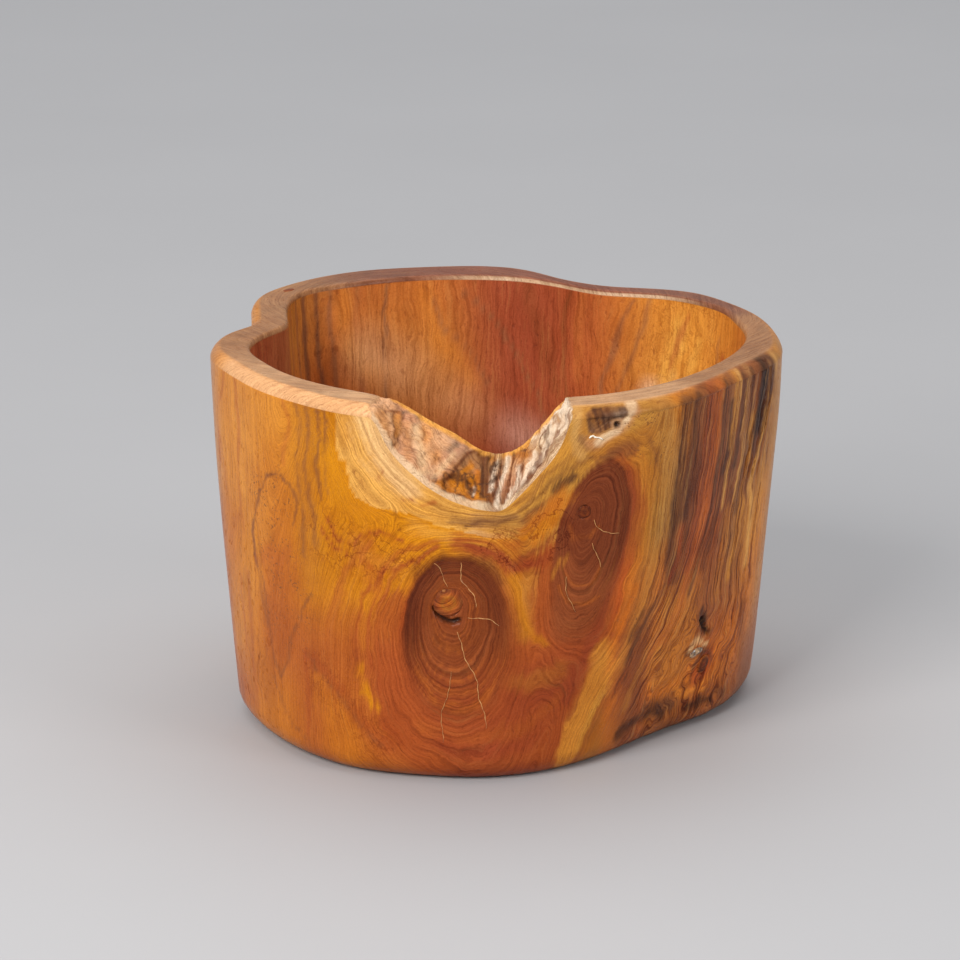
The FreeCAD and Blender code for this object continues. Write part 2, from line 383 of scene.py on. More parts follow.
def build_shell():
    """Underside, outer wall and the top of the wall."""
    grid = Grid(shell_angles)
    foot = wall_radius(shell_angles, BOTTOM_ROUNDING) - BOTTOM_ROUNDING
    for part in (0.3, 0.6, 0.85):
        grid.add(foot * part, 0.0, 0)
    for bend in np.radians(np.linspace(0.0, 78.0, 7)):
        reach = BOTTOM_ROUNDING * (1.0 - math.sin(bend))
        rise = BOTTOM_ROUNDING * (1.0 - math.cos(bend))
        grid.add(wall_radius(shell_angles, BOTTOM_ROUNDING) - reach, rise, 0)
    outer_top, _ = top_height(shell_angles, 0.0)
    for z in wall_rows()[:-1]:
        over = max(z - FINE_FROM, 0.0) / (HEIGHT - BEVEL_HEIGHT - FINE_FROM)
        level = min(z, FINE_FROM) + over * (outer_top - FINE_FROM)
        grid.add(wall_radius(shell_angles, level), level, 0)
    inner_top, _ = top_height(shell_angles, 1.0)
    outer_radius = wall_radius(shell_angles, outer_top)
    inner_radius = cavity_radius(shell_angles, inner_top)
    for part in np.linspace(0.0, 1.0, TOP_ROWS):
        level, torn = top_height(shell_angles, part)
        grid.add(outer_radius + part * (inner_radius - outer_radius), level, 1, part, torn)
    return grid


def build_lining():
    """The hollow's wall, its fillet and its floor."""
    grid = Grid(lining_angles)
    inner_top, _ = top_height(lining_angles, 1.0)
    fillet_top = FLOOR_THICKNESS + FLOOR_FILLET
    for below in (0.4, 1.1, 2.2):
        grid.add(cavity_radius(lining_angles, inner_top - below), inner_top - below, 2)
    for part in np.linspace(0.0, 1.0, LINING_ROWS)[1:]:
        level = inner_top + part * (fillet_top - inner_top)
        grid.add(cavity_radius(lining_angles, level), level, 2)
    for bend in np.radians(np.linspace(80.0, 0.0, 9)):
        reach = FLOOR_FILLET * (1.0 - math.sin(bend))
        level = FLOOR_THICKNESS + FLOOR_FILLET * (1.0 - math.cos(bend))
        grid.add(cavity_radius(lining_angles, level) - reach, level, 2)
    floor_edge = grid.rows[-1][1]
    for part in (0.75, 0.5, 0.25):
        grid.add(floor_edge * part, FLOOR_THICKNESS, 2)
    return grid


shell = build_shell().table()
lining = build_lining().table()
shell_rows, shell_columns = shell.shape[1:]
lining_rows, lining_columns = lining.shape[1:]
shell_count = shell_rows * shell_columns
angle, radius, height, side, share, broken = np.concatenate(
    [shell.reshape(6, -1), lining.reshape(6, -1)], axis=1)

skin = np.stack([radius * np.cos(np.radians(angle)), radius * np.sin(np.radians(angle)), height], axis=-1)
across = np.radians((angle - 90.0) % 360.0 - 180.0) * UNROLL
across_inside = np.radians((angle + 90.0) % 360.0 - 180.0) * UNROLL_INSIDE
# places on the broken face are laid out as seen from the front and 16 degrees from above
NOTCH_SLOPE = 0.289
NOTCH_FRONT = 158.0
front_x = skin[..., 0]
front_y = height + NOTCH_SLOPE * (skin[..., 1] + NOTCH_FRONT)

outside = side == 0
topside = side == 1
inside = side == 2
front = (outside | topside) & (np.abs(across) < 240.0)

# wandering of every painted line, so that none is ruler straight
wander_x = 2.2 * noise(skin, 16.0, 3, 1) + 0.5 * noise(skin, 4.0, 2, 2)
wander_y = 2.6 * noise(skin, 18.0, 3, 3) + 0.5 * noise(skin, 4.0, 2, 4)
wall_x = across + wander_x
wall_y = height + wander_y

# ---------------------------------------------------------------- growth rings as one smooth field

# dead-branch figure: (ring centre, outer ellipse centre, its half axes, its tilt in degrees)
EYE_LEFT = ((-22.0, 98.5), (-19.5, 81.0), (25.0, 42.0), 0.0)
EYE_RIGHT = ((43.5, 143.5), (46.5, 127.0), (18.0, 45.0), 10.0)


def eye_scale(x, y, eye):
    """1 on the figure's outer ellipse, shrinking to 0 at the ring centre."""
    (core_x, core_y), (mid_x, mid_y), (half_x, half_y), tilt = eye
    cos, sin = math.cos(math.radians(tilt)), math.sin(math.radians(tilt))
    away_x, away_y = x - core_x, y - core_y
    px = (away_x * cos - away_y * sin) / half_x
    py = (away_x * sin + away_y * cos) / half_y
    shift_x, shift_y = mid_x - core_x, mid_y - core_y
    cx = (shift_x * cos - shift_y * sin) / half_x
    cy = (shift_x * sin + shift_y * cos) / half_y
    dot = px * cx + py * cy
    square = px * px + py * py
    return square / (dot + np.sqrt(dot * dot + square * (1.0 - cx * cx - cy * cy)) + 1e-9)


# grain lines right of the figure: distance grown, and the line's points from the top down
GRAIN_LINES = [
    (-30, [(48, 200), (34, 150), (30, 120), (20, 90), (10, 65), (0, 40), (-10, 0)]),
    (0, [(78, 200), (68, 165), (67, 140), (63, 115), (55, 90), (46, 65), (36, 40), (22, 0)]),
    (28, [(97, 200), (93, 150), (94, 110), (88, 85), (72, 60), (58, 40), (42, 0)]),
    (52, [(118, 200), (115, 150), (112, 120), (104, 90), (92, 65), (75, 40), (55, 0)]),
    (75, [(140, 200), (138, 150), (135, 120), (128, 95), (118, 70), (100, 45), (65, 0)]),
    (86, [(150, 200), (146, 150), (142, 130), (140, 100), (138, 70), (128, 50), (100, 0)]),
    (120, [(190, 200), (178, 150), (176, 120), (176, 90), (180, 70), (175, 40), (160, 0)]),
    (150, [(215, 200), (215, 0)]),
    (250, [(315, 200), (315, 0)]),
]
PITH_TOP = (-38.0, 66.0)        # where the heart of the root lies, at the rim's height and at the foot
PITH_FOOT = (18.0, 24.0)
LEFT_REACH = 33.0               # growth from each figure's ring centre out to its outer ellipse
RIGHT_REACH = 31.0
FIGURES_MEET = 14.0
NOTCH_GROWTH = 90.0             # growth reached at the broken notch's lower edge
RIGHT_GROWTH = 32.0             # growth reached at the first grain line on the right


def grown_right(x, z):
    """Distance grown outward on the right of the figure, read between the grain lines."""
    places = []
    for _, line in GRAIN_LINES:
        line_x, line_z = zip(*line[::-1])
        places.append(np.interp(z, line_z, line_x))
    result = np.full(x.shape, float(GRAIN_LINES[0][0]))
    for (low, _), (high, _), here, there in zip(GRAIN_LINES, GRAIN_LINES[1:], places, places[1:]):
        part = np.clip((x - here) / (there - here), 0.0, 1.0)
        result = np.where(x > here, low + part * (high - low), result)
    return result


bent = skin + 4.0 * np.stack([noise(skin, 60.0, 2, k) for k in (11, 12, 13)], axis=-1)
lean = bent[..., 2] / HEIGHT
pith_x = PITH_FOOT[0] + lean * (PITH_TOP[0] - PITH_FOOT[0])
pith_y = PITH_FOOT[1] + lean * (PITH_TOP[1] - PITH_FOOT[1])
grown = np.hypot(bent[..., 0] - pith_x, bent[..., 1] - pith_y)

left_scale = eye_scale(across + 0.5 * wander_x, height + 0.5 * wander_y, EYE_LEFT)
right_scale = eye_scale(across + 0.5 * wander_x, height + 0.5 * wander_y, EYE_RIGHT)
right_growth = grown_right(across + 0.6 * wander_x, height)
notch_edge = path_distance(across, height, [(across_at(a), z) for a, z in NOTCH_OUTER])

phase = soft_min(LEFT_REACH * left_scale, RIGHT_REACH * right_scale, FIGURES_MEET)
above = (1.0 - ease(20.0, 45.0, notch_edge)) * ease(128.0, 150.0, height) * (1.0 - ease(8.0, 30.0, across))
phase = phase + above * (NOTCH_GROWTH - notch_edge - phase)
to_right = ease(-6.0, 12.0, right_growth)
phase = phase + to_right * (RIGHT_GROWTH + right_growth - phase)
loose = ease(0.95, 1.5, np.minimum(left_scale, right_scale)) * (1.0 - ease(60.0, 90.0, across))
loose = loose * (1.0 - 0.8 * above)
phase = phase + loose * (5.0 * noise(skin, 42.0, 3, 51) + 1.6 * noise(skin, 12.0, 3, 52))
curly = ease(84.0, 104.0, across) * (1.0 - ease(56.0, 84.0, height))
phase = phase + curly * (6.0 * noise(skin, 22.0, 3, 53) + 2.4 * noise(skin, 8.0, 2, 54))
to_side = np.maximum(1.0 - ease(-135.0, -85.0, across), ease(190.0, 232.0, across))
to_side = np.where(front & ~(topside & (broken < 0.5)), to_side, 1.0)
phase = phase + to_side * (grown - phase)
lining_growth = 0.5 * across_inside + 7.0 * noise(skin * np.array([1.0, 1.0, 0.3]), 46.0, 3, 56)
phase = np.where(inside, grown + ease(25.0, 60.0, height) * (lining_growth - grown), phase)

# the broken face: fibres sweep down to its lowest point on the right, and slant on the left
tip_x, tip_y = 3.0, 143.0
swept = np.degrees(np.arctan2(front_y - tip_y, front_x - tip_x))
slanted = 0.75 * front_x + 0.65 * front_y + 3.0 * noise(skin, 14.0, 3, 21)
fibre = slanted + ease(-9.0, -2.0, front_x) * (0.55 * swept - slanted)
fibre = fibre + 1.6 * noise(skin, 9.0, 3, 22)
phase = np.where(topside, phase + ease(0.3, 0.7, broken) * (fibre - phase), phase)

fray = noise(np.stack([phase / 2.0, height / 34.0, across / 70.0], axis=-1), 1.0, 3, 44)

# ---------------------------------------------------------------- painting: the outside
# A ground is a list of (across, height, colour) spots. A stroke is (colour, half width, softness,
# strength, path), all in millimetres on the wall.

# the tan at -205 across, high on the far left, is a painted reflection; the darker spots near the foot are
# partly painted shade
WALL_WASH = [
    (-238, 190, "amber"), (-238, 120, "amber"), (-238, 60, "honey"), (-238, 10, "orange"),
    (-205, 190, "tan"), (-205, 140, "tan"), (-205, 95, "copper"), (-203, 55, "copper"),
    (-203, 10, "burnt"), (-175, 190, "amber"), (-175, 145, "amber"), (-178, 100, "orange"),
    (-172, 60, "honey"), (-172, 15, "burnt"), (-145, 190, "amber"), (-148, 145, "amber"),
    (-150, 95, "honey"), (-150, 50, "orange"), (-148, 12, "orange"), (-120, 190, "amber"),
    (-120, 150, "honey"), (-120, 110, "orange"), (-122, 65, "burnt"), (-118, 20, "orange"),
    (-95, 190, "gold"), (-95, 150, "gold"), (-95, 110, "gold"), (-95, 65, "burnt"), (-95, 20, "burnt"),
    (-74, 190, "yellow"), (-74, 150, "yellow"), (-72, 110, "gold"), (-70, 70, "burnt"), (-72, 20, "orange"),
    (-50, 132, "yellow"), (-52, 105, "gold"), (-50, 70, "rust"), (-50, 35, "rust"), (-50, 8, "burnt"),
    (-25, 136, "yellow"), (-20, 60, "rust"), (-20, 20, "brick"), (0, 135, "khaki"), (5, 100, "bronze"),
    (14, 150, "khaki"), (24, 165, "khaki"), (32, 182, "khaki"), (20, 137, "khaki"),
    (8, 60, "rust"), (8, 20, "brick"), (30, 60, "brick"), (30, 20, "rust"), (25, 100, "copper"),
    (45, 190, "khaki"), (62, 192, "khaki"), (55, 50, "rust"), (60, 18, "bronze"),
    (80, 190, "honey"), (80, 160, "khaki"), (82, 125, "khaki"), (84, 95, "olive"), (80, 60, "brown"),
    (88, 25, "brown"), (102, 190, "bronze"), (104, 150, "brown"), (102, 115, "brown"), (105, 80, "olive"),
    (105, 45, "bronze"), (110, 15, "brown"), (124, 190, "redbrown"), (124, 150, "redbrown"),
    (124, 110, "redbrown"), (126, 75, "olive"), (128, 40, "bronze"), (132, 14, "umber"),
    (142, 190, "olive"), (143, 150, "brown"), (143, 110, "redbrown"), (146, 70, "brown"),
    (150, 40, "burnt"), (152, 14, "brown"), (160, 190, "brown"), (160, 150, "brown"),
    (160, 110, "taupe"), (162, 75, "brown"),
    (168, 35, "orange"), (172, 12, "umber"), (180, 190, "umber"), (178, 150, "brown"), (180, 115, "khaki"),
    (182, 80, "bronze"), (188, 45, "orange"), (195, 12, "brown"), (206, 190, "khaki"), (206, 145, "khaki"),
    (206, 105, "honey"), (208, 70, "honey"), (210, 35, "burnt"), (215, 10, "brown"),
    (238, 190, "amber"), (238, 130, "honey"), (238, 70, "orange"), (238, 15, "burnt"),
]

SAPWOOD = [
    (-78, 206), (-77, 186), (-76, 171), (-71, 169), (-70, 159), (-67, 152), (-60, 148), (-47, 145),
    (-32, 141), (-18, 137), (-6, 132), (3, 131), (10, 134), (13, 140), (8, 148), (4, 160), (4, 206),
]

WALL_STROKES = [
    # far left: faint growth lines in smooth orange wood
    ("burnt", 0.7, 1.5, 0.75, [(-236, 163), (-228, 152), (-223, 138), (-221, 118)]),
    ("burnt", 0.8, 1.6, 0.65, [(-170, 199), (-174, 190), (-184, 178), (-187, 160), (-191, 138)]),
    ("burnt", 1.6, 4.0, 0.40, [(-174, 92), (-175, 104), (-170, 113), (-161, 121)]),
    ("burnt", 0.6, 1.6, 0.60, [(-186, 172), (-183, 150), (-181, 128)]),
    ("burnt", 0.8, 2.2, 0.55, [(-160, 198), (-158, 170), (-160, 140), (-157, 112)]),
    ("copper", 1.0, 2.4, 0.55, [(-154, 90), (-152, 66), (-155, 40), (-150, 24)]),
    ("burnt", 0.6, 1.6, 0.60, [(-166, 84), (-163, 62), (-165, 44)]),
    ("brown", 0.5, 1.4, 0.45, [(-128, 40), (-122, 28), (-112, 18), (-100, 12)]),
    ("burnt", 0.8, 2.2, 0.55, [(-112, 198), (-110, 180), (-112, 160)]),
    ("amber", 2.0, 4.0, 0.45, [(-138, 196), (-136, 176), (-140, 156)]),
    ("copper", 7.0, 9.0, 0.35, [(-203, 80), (-200, 40), (-202, 12)]),
    ("burnt", 1.6, 3.5, 0.45, [(-178, 19), (-168, 22), (-158, 20), (-150, 16)]),
    # burl: an arched outline with a rough, darker core
    ("copper", 15.0, 14.0, 0.35, [(-124, 140), (-118, 110), (-120, 70)]),
    ("amber", 7.0, 8.0, 0.45, [(-133, 120), (-127, 140)]),
    ("brown", 0.5, 1.2, 0.85, [(-143, 102), (-144, 117), (-141, 127), (-135, 140), (-127, 150), (-117, 154),
                                (-108, 150), (-104, 140), (-107, 128)]),
    ("brown", 0.5, 1.2, 0.75, [(-143, 102), (-136, 90), (-131, 70), (-127, 52), (-121, 41), (-115, 52),
                                (-110, 70), (-103, 80), (-96, 92)]),
    ("copper", 8.0, 7.0, 0.45, [(-121, 60), (-121, 90), (-112, 100)]),
    ("burnt", 3.0, 4.0, 0.45, [(-138, 100), (-128, 108), (-118, 104), (-110, 112)]),
    ("brown", 0.4, 1.4, 0.45, [(-133, 66), (-140, 84), (-141, 98)]),
    # yellow streaked wood left of the pale sapwood
    ("brown", 0.6, 1.4, 0.75, [(-101, 197), (-102, 170), (-101, 140), (-98, 112)]),
    ("brown", 0.9, 1.6, 0.80, [(-95, 198), (-96, 165), (-94, 140), (-92, 120)]),
    ("brown", 0.7, 1.3, 0.80, [(-88, 198), (-88, 165), (-86, 146)]),
    ("brown", 0.5, 1.1, 0.70, [(-84, 197), (-84, 170), (-82, 150)]),
    ("bronze", 5.0, 6.0, 0.40, [(-98, 195), (-98, 140), (-94, 100)]),
    ("yellow", 4.0, 5.0, 0.75, [(-79, 168), (-76, 150), (-66, 143), (-50, 137), (-34, 134)]),
    ("amber", 3.0, 4.0, 0.50, [(-68, 128), (-60, 118), (-48, 116)]),
    ("yellow", 2.0, 3.0, 0.50, [(-64, 102), (-66, 86), (-63, 72)]),
    ("rust", 0.6, 1.4, 0.80, [(-84, 137), (-77, 126), (-68, 123), (-64, 131), (-55, 134), (-44, 130)]),
    ("rust", 0.6, 1.4, 0.75, [(-88, 130), (-80, 121), (-72, 118)]),
    ("rust", 0.6, 1.5, 0.70, [(-66, 117), (-57, 112), (-47, 115), (-40, 121), (-30, 127)]),
    # reddish heartwood spreading down and left of the left figure
    ("burnt", 5.0, 7.0, 0.55, [(-66, 84), (-60, 66), (-60, 44)]),
    ("orange", 3.5, 4.5, 0.75, [(-60, 112), (-54, 98), (-52, 82)]),
    ("rust", 7.0, 6.0, 0.70, [(-49, 96), (-52, 76), (-52, 50), (-46, 28), (-34, 8)]),
    ("yellow", 1.1, 2.2, 0.85, [(-68, 62), (-67, 54), (-64, 46), (-61, 40)]),
    ("rust", 3.0, 4.0, 0.60, [(-99, 60), (-88, 55), (-79, 48), (-71, 36), (-62, 26), (-55, 18)]),
    ("rust", 1.0, 2.4, 0.55, [(-100, 56), (-98, 45), (-99, 30), (-101, 16)]),
    ("orange", 4.0, 5.0, 0.55, [(-90, 46), (-86, 30), (-84, 14)]),
    ("orange", 3.0, 4.0, 0.40, [(-78, 38), (-74, 22), (-72, 10)]),
    ("brown", 0.5, 1.4, 0.45, [(-97, 62), (-90, 52), (-79, 45), (-69, 31), (-58, 18)]),
    ("rust", 0.6, 1.6, 0.65, [(-24, 134), (-46, 124), (-64, 100), (-71, 74), (-66, 48)]),
    ("rust", 0.6, 1.6, 0.60, [(-30, 129), (-48, 114), (-60, 92), (-63, 70), (-57, 48)]),
    ("burnt", 1.2, 2.4, 0.60, [(-60, 127), (-74, 108), (-82, 84), (-84, 60)]),
    ("sapdeep", 2.4, 4.0, 0.65, [(-40, 138), (-14, 132), (6, 128)]),
    # saddle of golden wood between the two figures
    ("honey", 4.0, 5.0, 0.75, [(-16, 137), (4, 124), (7, 110), (8, 92), (12, 82)]),
    ("bronze", 6.0, 6.0, 0.55, [(10, 122), (12, 100), (14, 84)]),
    ("orange", 4.0, 5.0, 0.70, [(16, 134), (24, 140), (30, 148)]),
    ("honey", 2.5, 3.5, 0.60, [(4, 132), (12, 128), (20, 134)]),
    ("rust", 2.6, 3.4, 0.80, [(-20, 131), (-4, 123), (6, 117), (20, 120), (32, 130)]),
    ("brick", 1.3, 2.2, 0.80, [(-14, 129), (0, 122), (8, 116), (18, 119), (27, 124)]),
    ("redbrown", 0.6, 1.4, 0.70, [(6, 118), (14, 123), (22, 127), (30, 136)]),
    ("redbrown", 0.5, 1.4, 0.60, [(10, 117), (18, 113), (26, 116), (31, 124)]),
    ("rust", 3.0, 4.0, 0.55, [(10, 130), (18, 140), (26, 149)]),
    ("rust", 6.5, 5.0, 0.85, [(29, 118), (25, 98), (26, 78)]),
    ("redbrown", 3.0, 4.0, 0.60, [(33, 108), (30, 92), (32, 76)]),
    ("gold", 1.6, 2.4, 0.60, [(8, 112), (11, 96), (16, 82), (24, 72)]),
    ("brick", 8.0, 8.0, 0.60, [(8, 52), (22, 50), (38, 58)]),
    # the flow under both figures
    ("rust", 4.0, 6.0, 0.50, [(12, 70), (28, 62), (44, 66)]),
    ("bronze", 3.0, 5.0, 0.40, [(2, 56), (18, 52), (34, 58)]),
    ("copper", 2.0, 5.0, 0.35, [(-36, 30), (-10, 24), (16, 30), (34, 44)]),
    ("burnt", 3.0, 5.0, 0.30, [(-30, 14), (0, 10), (24, 14)]),
    # red fringe and the golden band right of the right figure
    ("orange", 6.0, 6.0, 0.60, [(46, 178), (62, 172), (73, 160), (76, 140), (73, 118), (67, 96), (62, 80)]),
    ("rust", 4.6, 4.5, 0.80, [(58, 173), (67, 162), (70, 145), (68, 125), (64, 108), (60, 92), (55, 74),
                               (48, 56), (40, 38), (32, 22), (28, 8)]),
    ("brick", 2.6, 3.0, 0.75, [(64, 160), (66, 145), (65, 128), (61, 112), (57, 96), (52, 78),
                                (45, 58), (37, 42)]),
    ("amber", 4.5, 3.5, 0.85, [(36, 4), (41, 18), (50, 34), (57, 50), (62, 66)]),
    ("orange", 2.6, 3.0, 0.65, [(62, 66), (68, 82), (74, 100)]),
    ("sapdeep", 1.4, 2.2, 0.70, [(44, 12), (52, 28), (60, 46), (65, 58)]),
    ("orange", 1.4, 2.4, 0.50, [(50, 6), (60, 22), (68, 36)]),
    # khaki wood above and right, with speckles and slanting dark lines
    ("straw", 5.0, 6.0, 0.30, [(62, 194), (78, 188), (88, 172), (90, 150), (90, 128)]),
    ("straw", 2.0, 3.5, 0.30, [(84, 196), (93, 178), (95, 150), (93, 122)]),
    ("bronze", 3.0, 5.0, 0.50, [(72, 182), (82, 168), (84, 146)]),
    ("brown", 0.5, 1.6, 0.50, [(60, 188), (72, 182), (80, 172), (84, 160)]),
    ("olive", 3.0, 4.0, 0.50, [(80, 92), (74, 76), (66, 58)]),
    ("khaki", 2.2, 3.0, 0.45, [(88, 112), (84, 96), (78, 80), (70, 60), (62, 40)]),
    ("dark", 0.7, 1.5, 0.65, [(101, 100), (93, 86), (83, 73), (76, 60), (72, 44)]),
    ("dark", 0.6, 1.3, 0.60, [(96, 95), (87, 82), (79, 70), (71, 52), (66, 36)]),
    ("dark", 1.3, 2.0, 0.55, [(82, 82), (77, 74), (74, 68)]),
    ("brown", 0.6, 1.4, 0.55, [(106, 96), (100, 80), (90, 62), (80, 40), (74, 24)]),
    ("brown", 0.6, 1.4, 0.50, [(90, 76), (82, 60), (74, 42), (68, 26)]),
    ("khaki", 1.6, 2.6, 0.40, [(101, 84), (92, 66), (84, 46), (78, 28)]),
    ("khaki", 2.0, 3.0, 0.45, [(112, 82), (104, 62), (94, 42)]),
    # first dark band and the reddish wood beside it
    ("dark", 3.6, 4.0, 0.75, [(100, 193), (99, 165), (97, 138), (97, 114), (101, 98)]),
    ("umber", 4.5, 4.0, 0.75, [(112, 196), (111, 165), (109, 138), (107, 112), (104, 98)]),
    ("dark", 1.4, 2.2, 0.70, [(107, 195), (106, 160), (104, 130)]),
    ("redbrown", 3.0, 3.5, 0.80, [(120, 196), (119, 160), (117, 128), (114, 100)]),
    ("rust", 1.6, 2.6, 0.55, [(104, 124), (105, 108), (100, 96)]),
    ("copper", 2.4, 3.0, 0.65, [(128, 196), (127, 160), (124, 128), (120, 100)]),
    ("dark", 1.1, 1.8, 0.75, [(135, 197), (134, 165), (132, 132), (128, 104), (122, 82)]),
    ("umber", 2.6, 3.0, 0.70, [(139, 197), (140, 170), (139, 150), (136, 122), (134, 96)]),
    ("dark", 1.6, 2.2, 0.80, [(142, 184), (142, 160), (140, 146)]),
    ("straw", 1.5, 1.6, 0.85, [(150, 198), (149, 180), (147, 160), (144, 142), (142, 126)]),
    ("khaki", 1.2, 1.8, 0.70, [(146, 198), (145, 176), (143, 158)]),
    ("umber", 2.6, 2.6, 0.80, [(155, 198), (155, 175), (152, 150), (149, 128), (147, 106)]),
    ("dark", 1.0, 1.6, 0.75, [(154, 196), (154, 170), (151, 146)]),
    ("taupe", 2.4, 3.0, 0.75, [(161, 198), (161, 165), (158, 130), (156, 100)]),
    ("straw", 0.7, 1.3, 0.60, [(158, 190), (158, 160), (155, 126)]),
    ("dark", 1.1, 1.8, 0.70, [(165, 197), (165, 172), (163, 150), (160, 118)]),
    ("khaki", 2.0, 3.0, 0.60, [(168, 170), (166, 140), (163, 108), (160, 84)]),
    ("olive", 3.0, 4.0, 0.50, [(152, 120), (150, 96), (150, 76)]),
    ("brown", 2.0, 3.4, 0.60, [(136, 94), (138, 80), (140, 70)]),
    ("copper", 3.0, 4.0, 0.55, [(118, 92), (114, 78), (104, 62)]),
    # the very dark rough strip, the pale edge right of it and the plain wood beyond
    ("dark", 6.5, 4.0, 0.92, [(181, 200), (180, 184), (178, 168), (175, 154)]),
    ("black", 2.0, 2.4, 0.75, [(177, 199), (177, 182), (174, 166), (172, 150)]),
    ("umber", 3.0, 3.5, 0.80, [(174, 156), (171, 142), (169, 128)]),
    ("taupe", 1.0, 1.6, 0.60, [(184, 196), (182, 178), (178, 162)]),
    ("straw", 1.5, 1.8, 0.90, [(193, 200), (190, 184), (184, 168), (179, 154), (175, 142), (174, 126),
                                (176, 104), (180, 88)]),
    ("brown", 0.7, 1.4, 0.70, [(197, 198), (194, 184), (188, 168), (183, 154), (179, 140), (178, 122)]),
    ("straw", 2.0, 3.0, 0.50, [(192, 172), (187, 150), (184, 128)]),
    ("amber", 5.0, 7.0, 0.60, [(205, 196), (204, 160), (204, 128)]),
    ("amber", 3.0, 5.0, 0.60, [(200, 120), (202, 90), (204, 60)]),
    ("brown", 0.8, 1.8, 0.45, [(168, 100), (172, 80), (178, 62), (180, 44)]),
    # low on the right: loose curly grain, a crack, stains
    ("brown", 4.0, 5.0, 0.55, [(134, 76), (140, 66), (144, 58)]),
    # the crack's dark and black are painted shade in the crack
    ("dark", 1.5, 1.8, 0.90, [(137, 67), (140, 62), (144, 57), (150, 55)]),
    ("black", 1.1, 1.2, 1.00, [(139, 63), (142, 58), (147, 56)]),
    ("dark", 1.6, 2.4, 0.70, [(133, 47), (140, 44), (152, 43)]),
    ("cream", 1.0, 1.5, 0.65, [(134, 49), (138, 52), (143, 51), (150, 47)]),
    ("orange", 5.0, 5.0, 0.60, [(140, 34), (149, 29), (158, 36)]),
    ("brick", 5.5, 4.0, 0.75, [(146, 33), (152, 38)]),
    ("dark", 0.7, 1.2, 0.75, [(140, 30), (141, 38), (147, 43), (155, 42), (158, 37)]),
    ("amber", 0.7, 1.4, 0.60, [(124, 30), (134, 25), (148, 24), (162, 30), (170, 34)]),
    ("amber", 0.7, 1.4, 0.55, [(128, 24), (140, 20), (156, 22), (168, 27)]),
    ("orange", 2.4, 3.4, 0.55, [(100, 30), (116, 30), (128, 34)]),
    ("amber", 0.7, 1.4, 0.50, [(96, 36), (108, 36), (120, 40), (128, 46)]),
    ("brown", 1.0, 2.0, 0.55, [(88, 22), (100, 26), (114, 24), (126, 20)]),
    ("black", 2.4, 3.4, 0.75, [(76, 13), (92, 17), (108, 18), (118, 14)]),
    ("dark", 2.0, 3.0, 0.70, [(96, 22), (110, 22), (124, 17)]),
    ("black", 2.4, 3.0, 0.80, [(140, 13), (150, 14), (162, 13)]),
    ("dark", 1.4, 2.4, 0.60, [(158, 20), (168, 17), (178, 12)]),
    ("umber", 3.0, 5.0, 0.55, [(184, 62), (188, 46), (192, 30)]),
    # a lighter stretch of the golden band at the foot: a painted pool of light
    ("amber", 4.6, 4.0, 0.80, [(57, 62), (51, 44), (45, 28), (38, 12)]),
]

SAP_STROKES = [
    ("sapdeep", 6.0, 8.0, 0.70, [(-40, 150), (-18, 143), (0, 136)]),
    ("sapdeep", 2.0, 3.0, 0.60, [(-74, 196), (-73, 180)]),
    ("cream", 3.5, 6.0, 0.40, [(-62, 192), (-55, 172), (-42, 158)]),
    ("sapshade", 3.0, 4.0, 0.55, [(-30, 150), (-12, 142), (6, 139)]),
    ("clay", 4.0, 5.0, 0.55, [(-8, 141), (4, 136), (14, 144), (24, 158)]),
    ("cream", 1.6, 3.0, 0.30, [(-14, 136), (-2, 132), (6, 133)]),
    ("rust", 0.4, 1.1, 0.60, [(-45, 152), (-40, 153)]),
    ("rust", 0.4, 1.1, 0.60, [(-36, 150), (-31, 152)]),
    ("rust", 0.4, 1.1, 0.60, [(-55, 163), (-53, 166)]),
]

BESIDE_STROKES = [
    # stained, slanting wood between the broken edge and the right figure
    ("taupe", 1.4, 2.4, 0.60, [(-22, 143), (-12, 141), (-2, 140), (8, 143)]),
    ("umber", 0.8, 1.6, 0.65, [(-16, 139), (-8, 141), (1, 139), (8, 142)]),
    ("sapdeep", 3.0, 4.0, 0.65, [(8, 150), (16, 160), (26, 172), (36, 184)]),
    ("khaki", 2.6, 3.6, 0.65, [(14, 148), (24, 160), (36, 172), (50, 178)]),
    ("umber", 0.8, 1.6, 0.55, [(10, 146), (20, 157), (32, 168), (48, 176)]),
    ("brown", 0.5, 1.3, 0.50, [(8, 149), (16, 158), (26, 168), (38, 178)]),
    ("brown", 0.5, 1.3, 0.50, [(14, 144), (24, 152), (34, 162), (48, 171), (60, 174)]),
    ("dark", 2.0, 2.4, 0.80, [(27, 157), (31, 160), (36, 164)]),
    ("umber", 1.6, 2.2, 0.70, [(12, 140), (16, 145), (20, 149)]),
    ("orange", 3.0, 4.0, 0.70, [(18, 140), (26, 148), (32, 154)]),
    ("gold", 2.0, 3.0, 0.60, [(12, 132), (20, 136), (28, 142)]),
    ("umber", 1.6, 2.4, 0.60, [(46, 174), (56, 177), (66, 178)]),
]

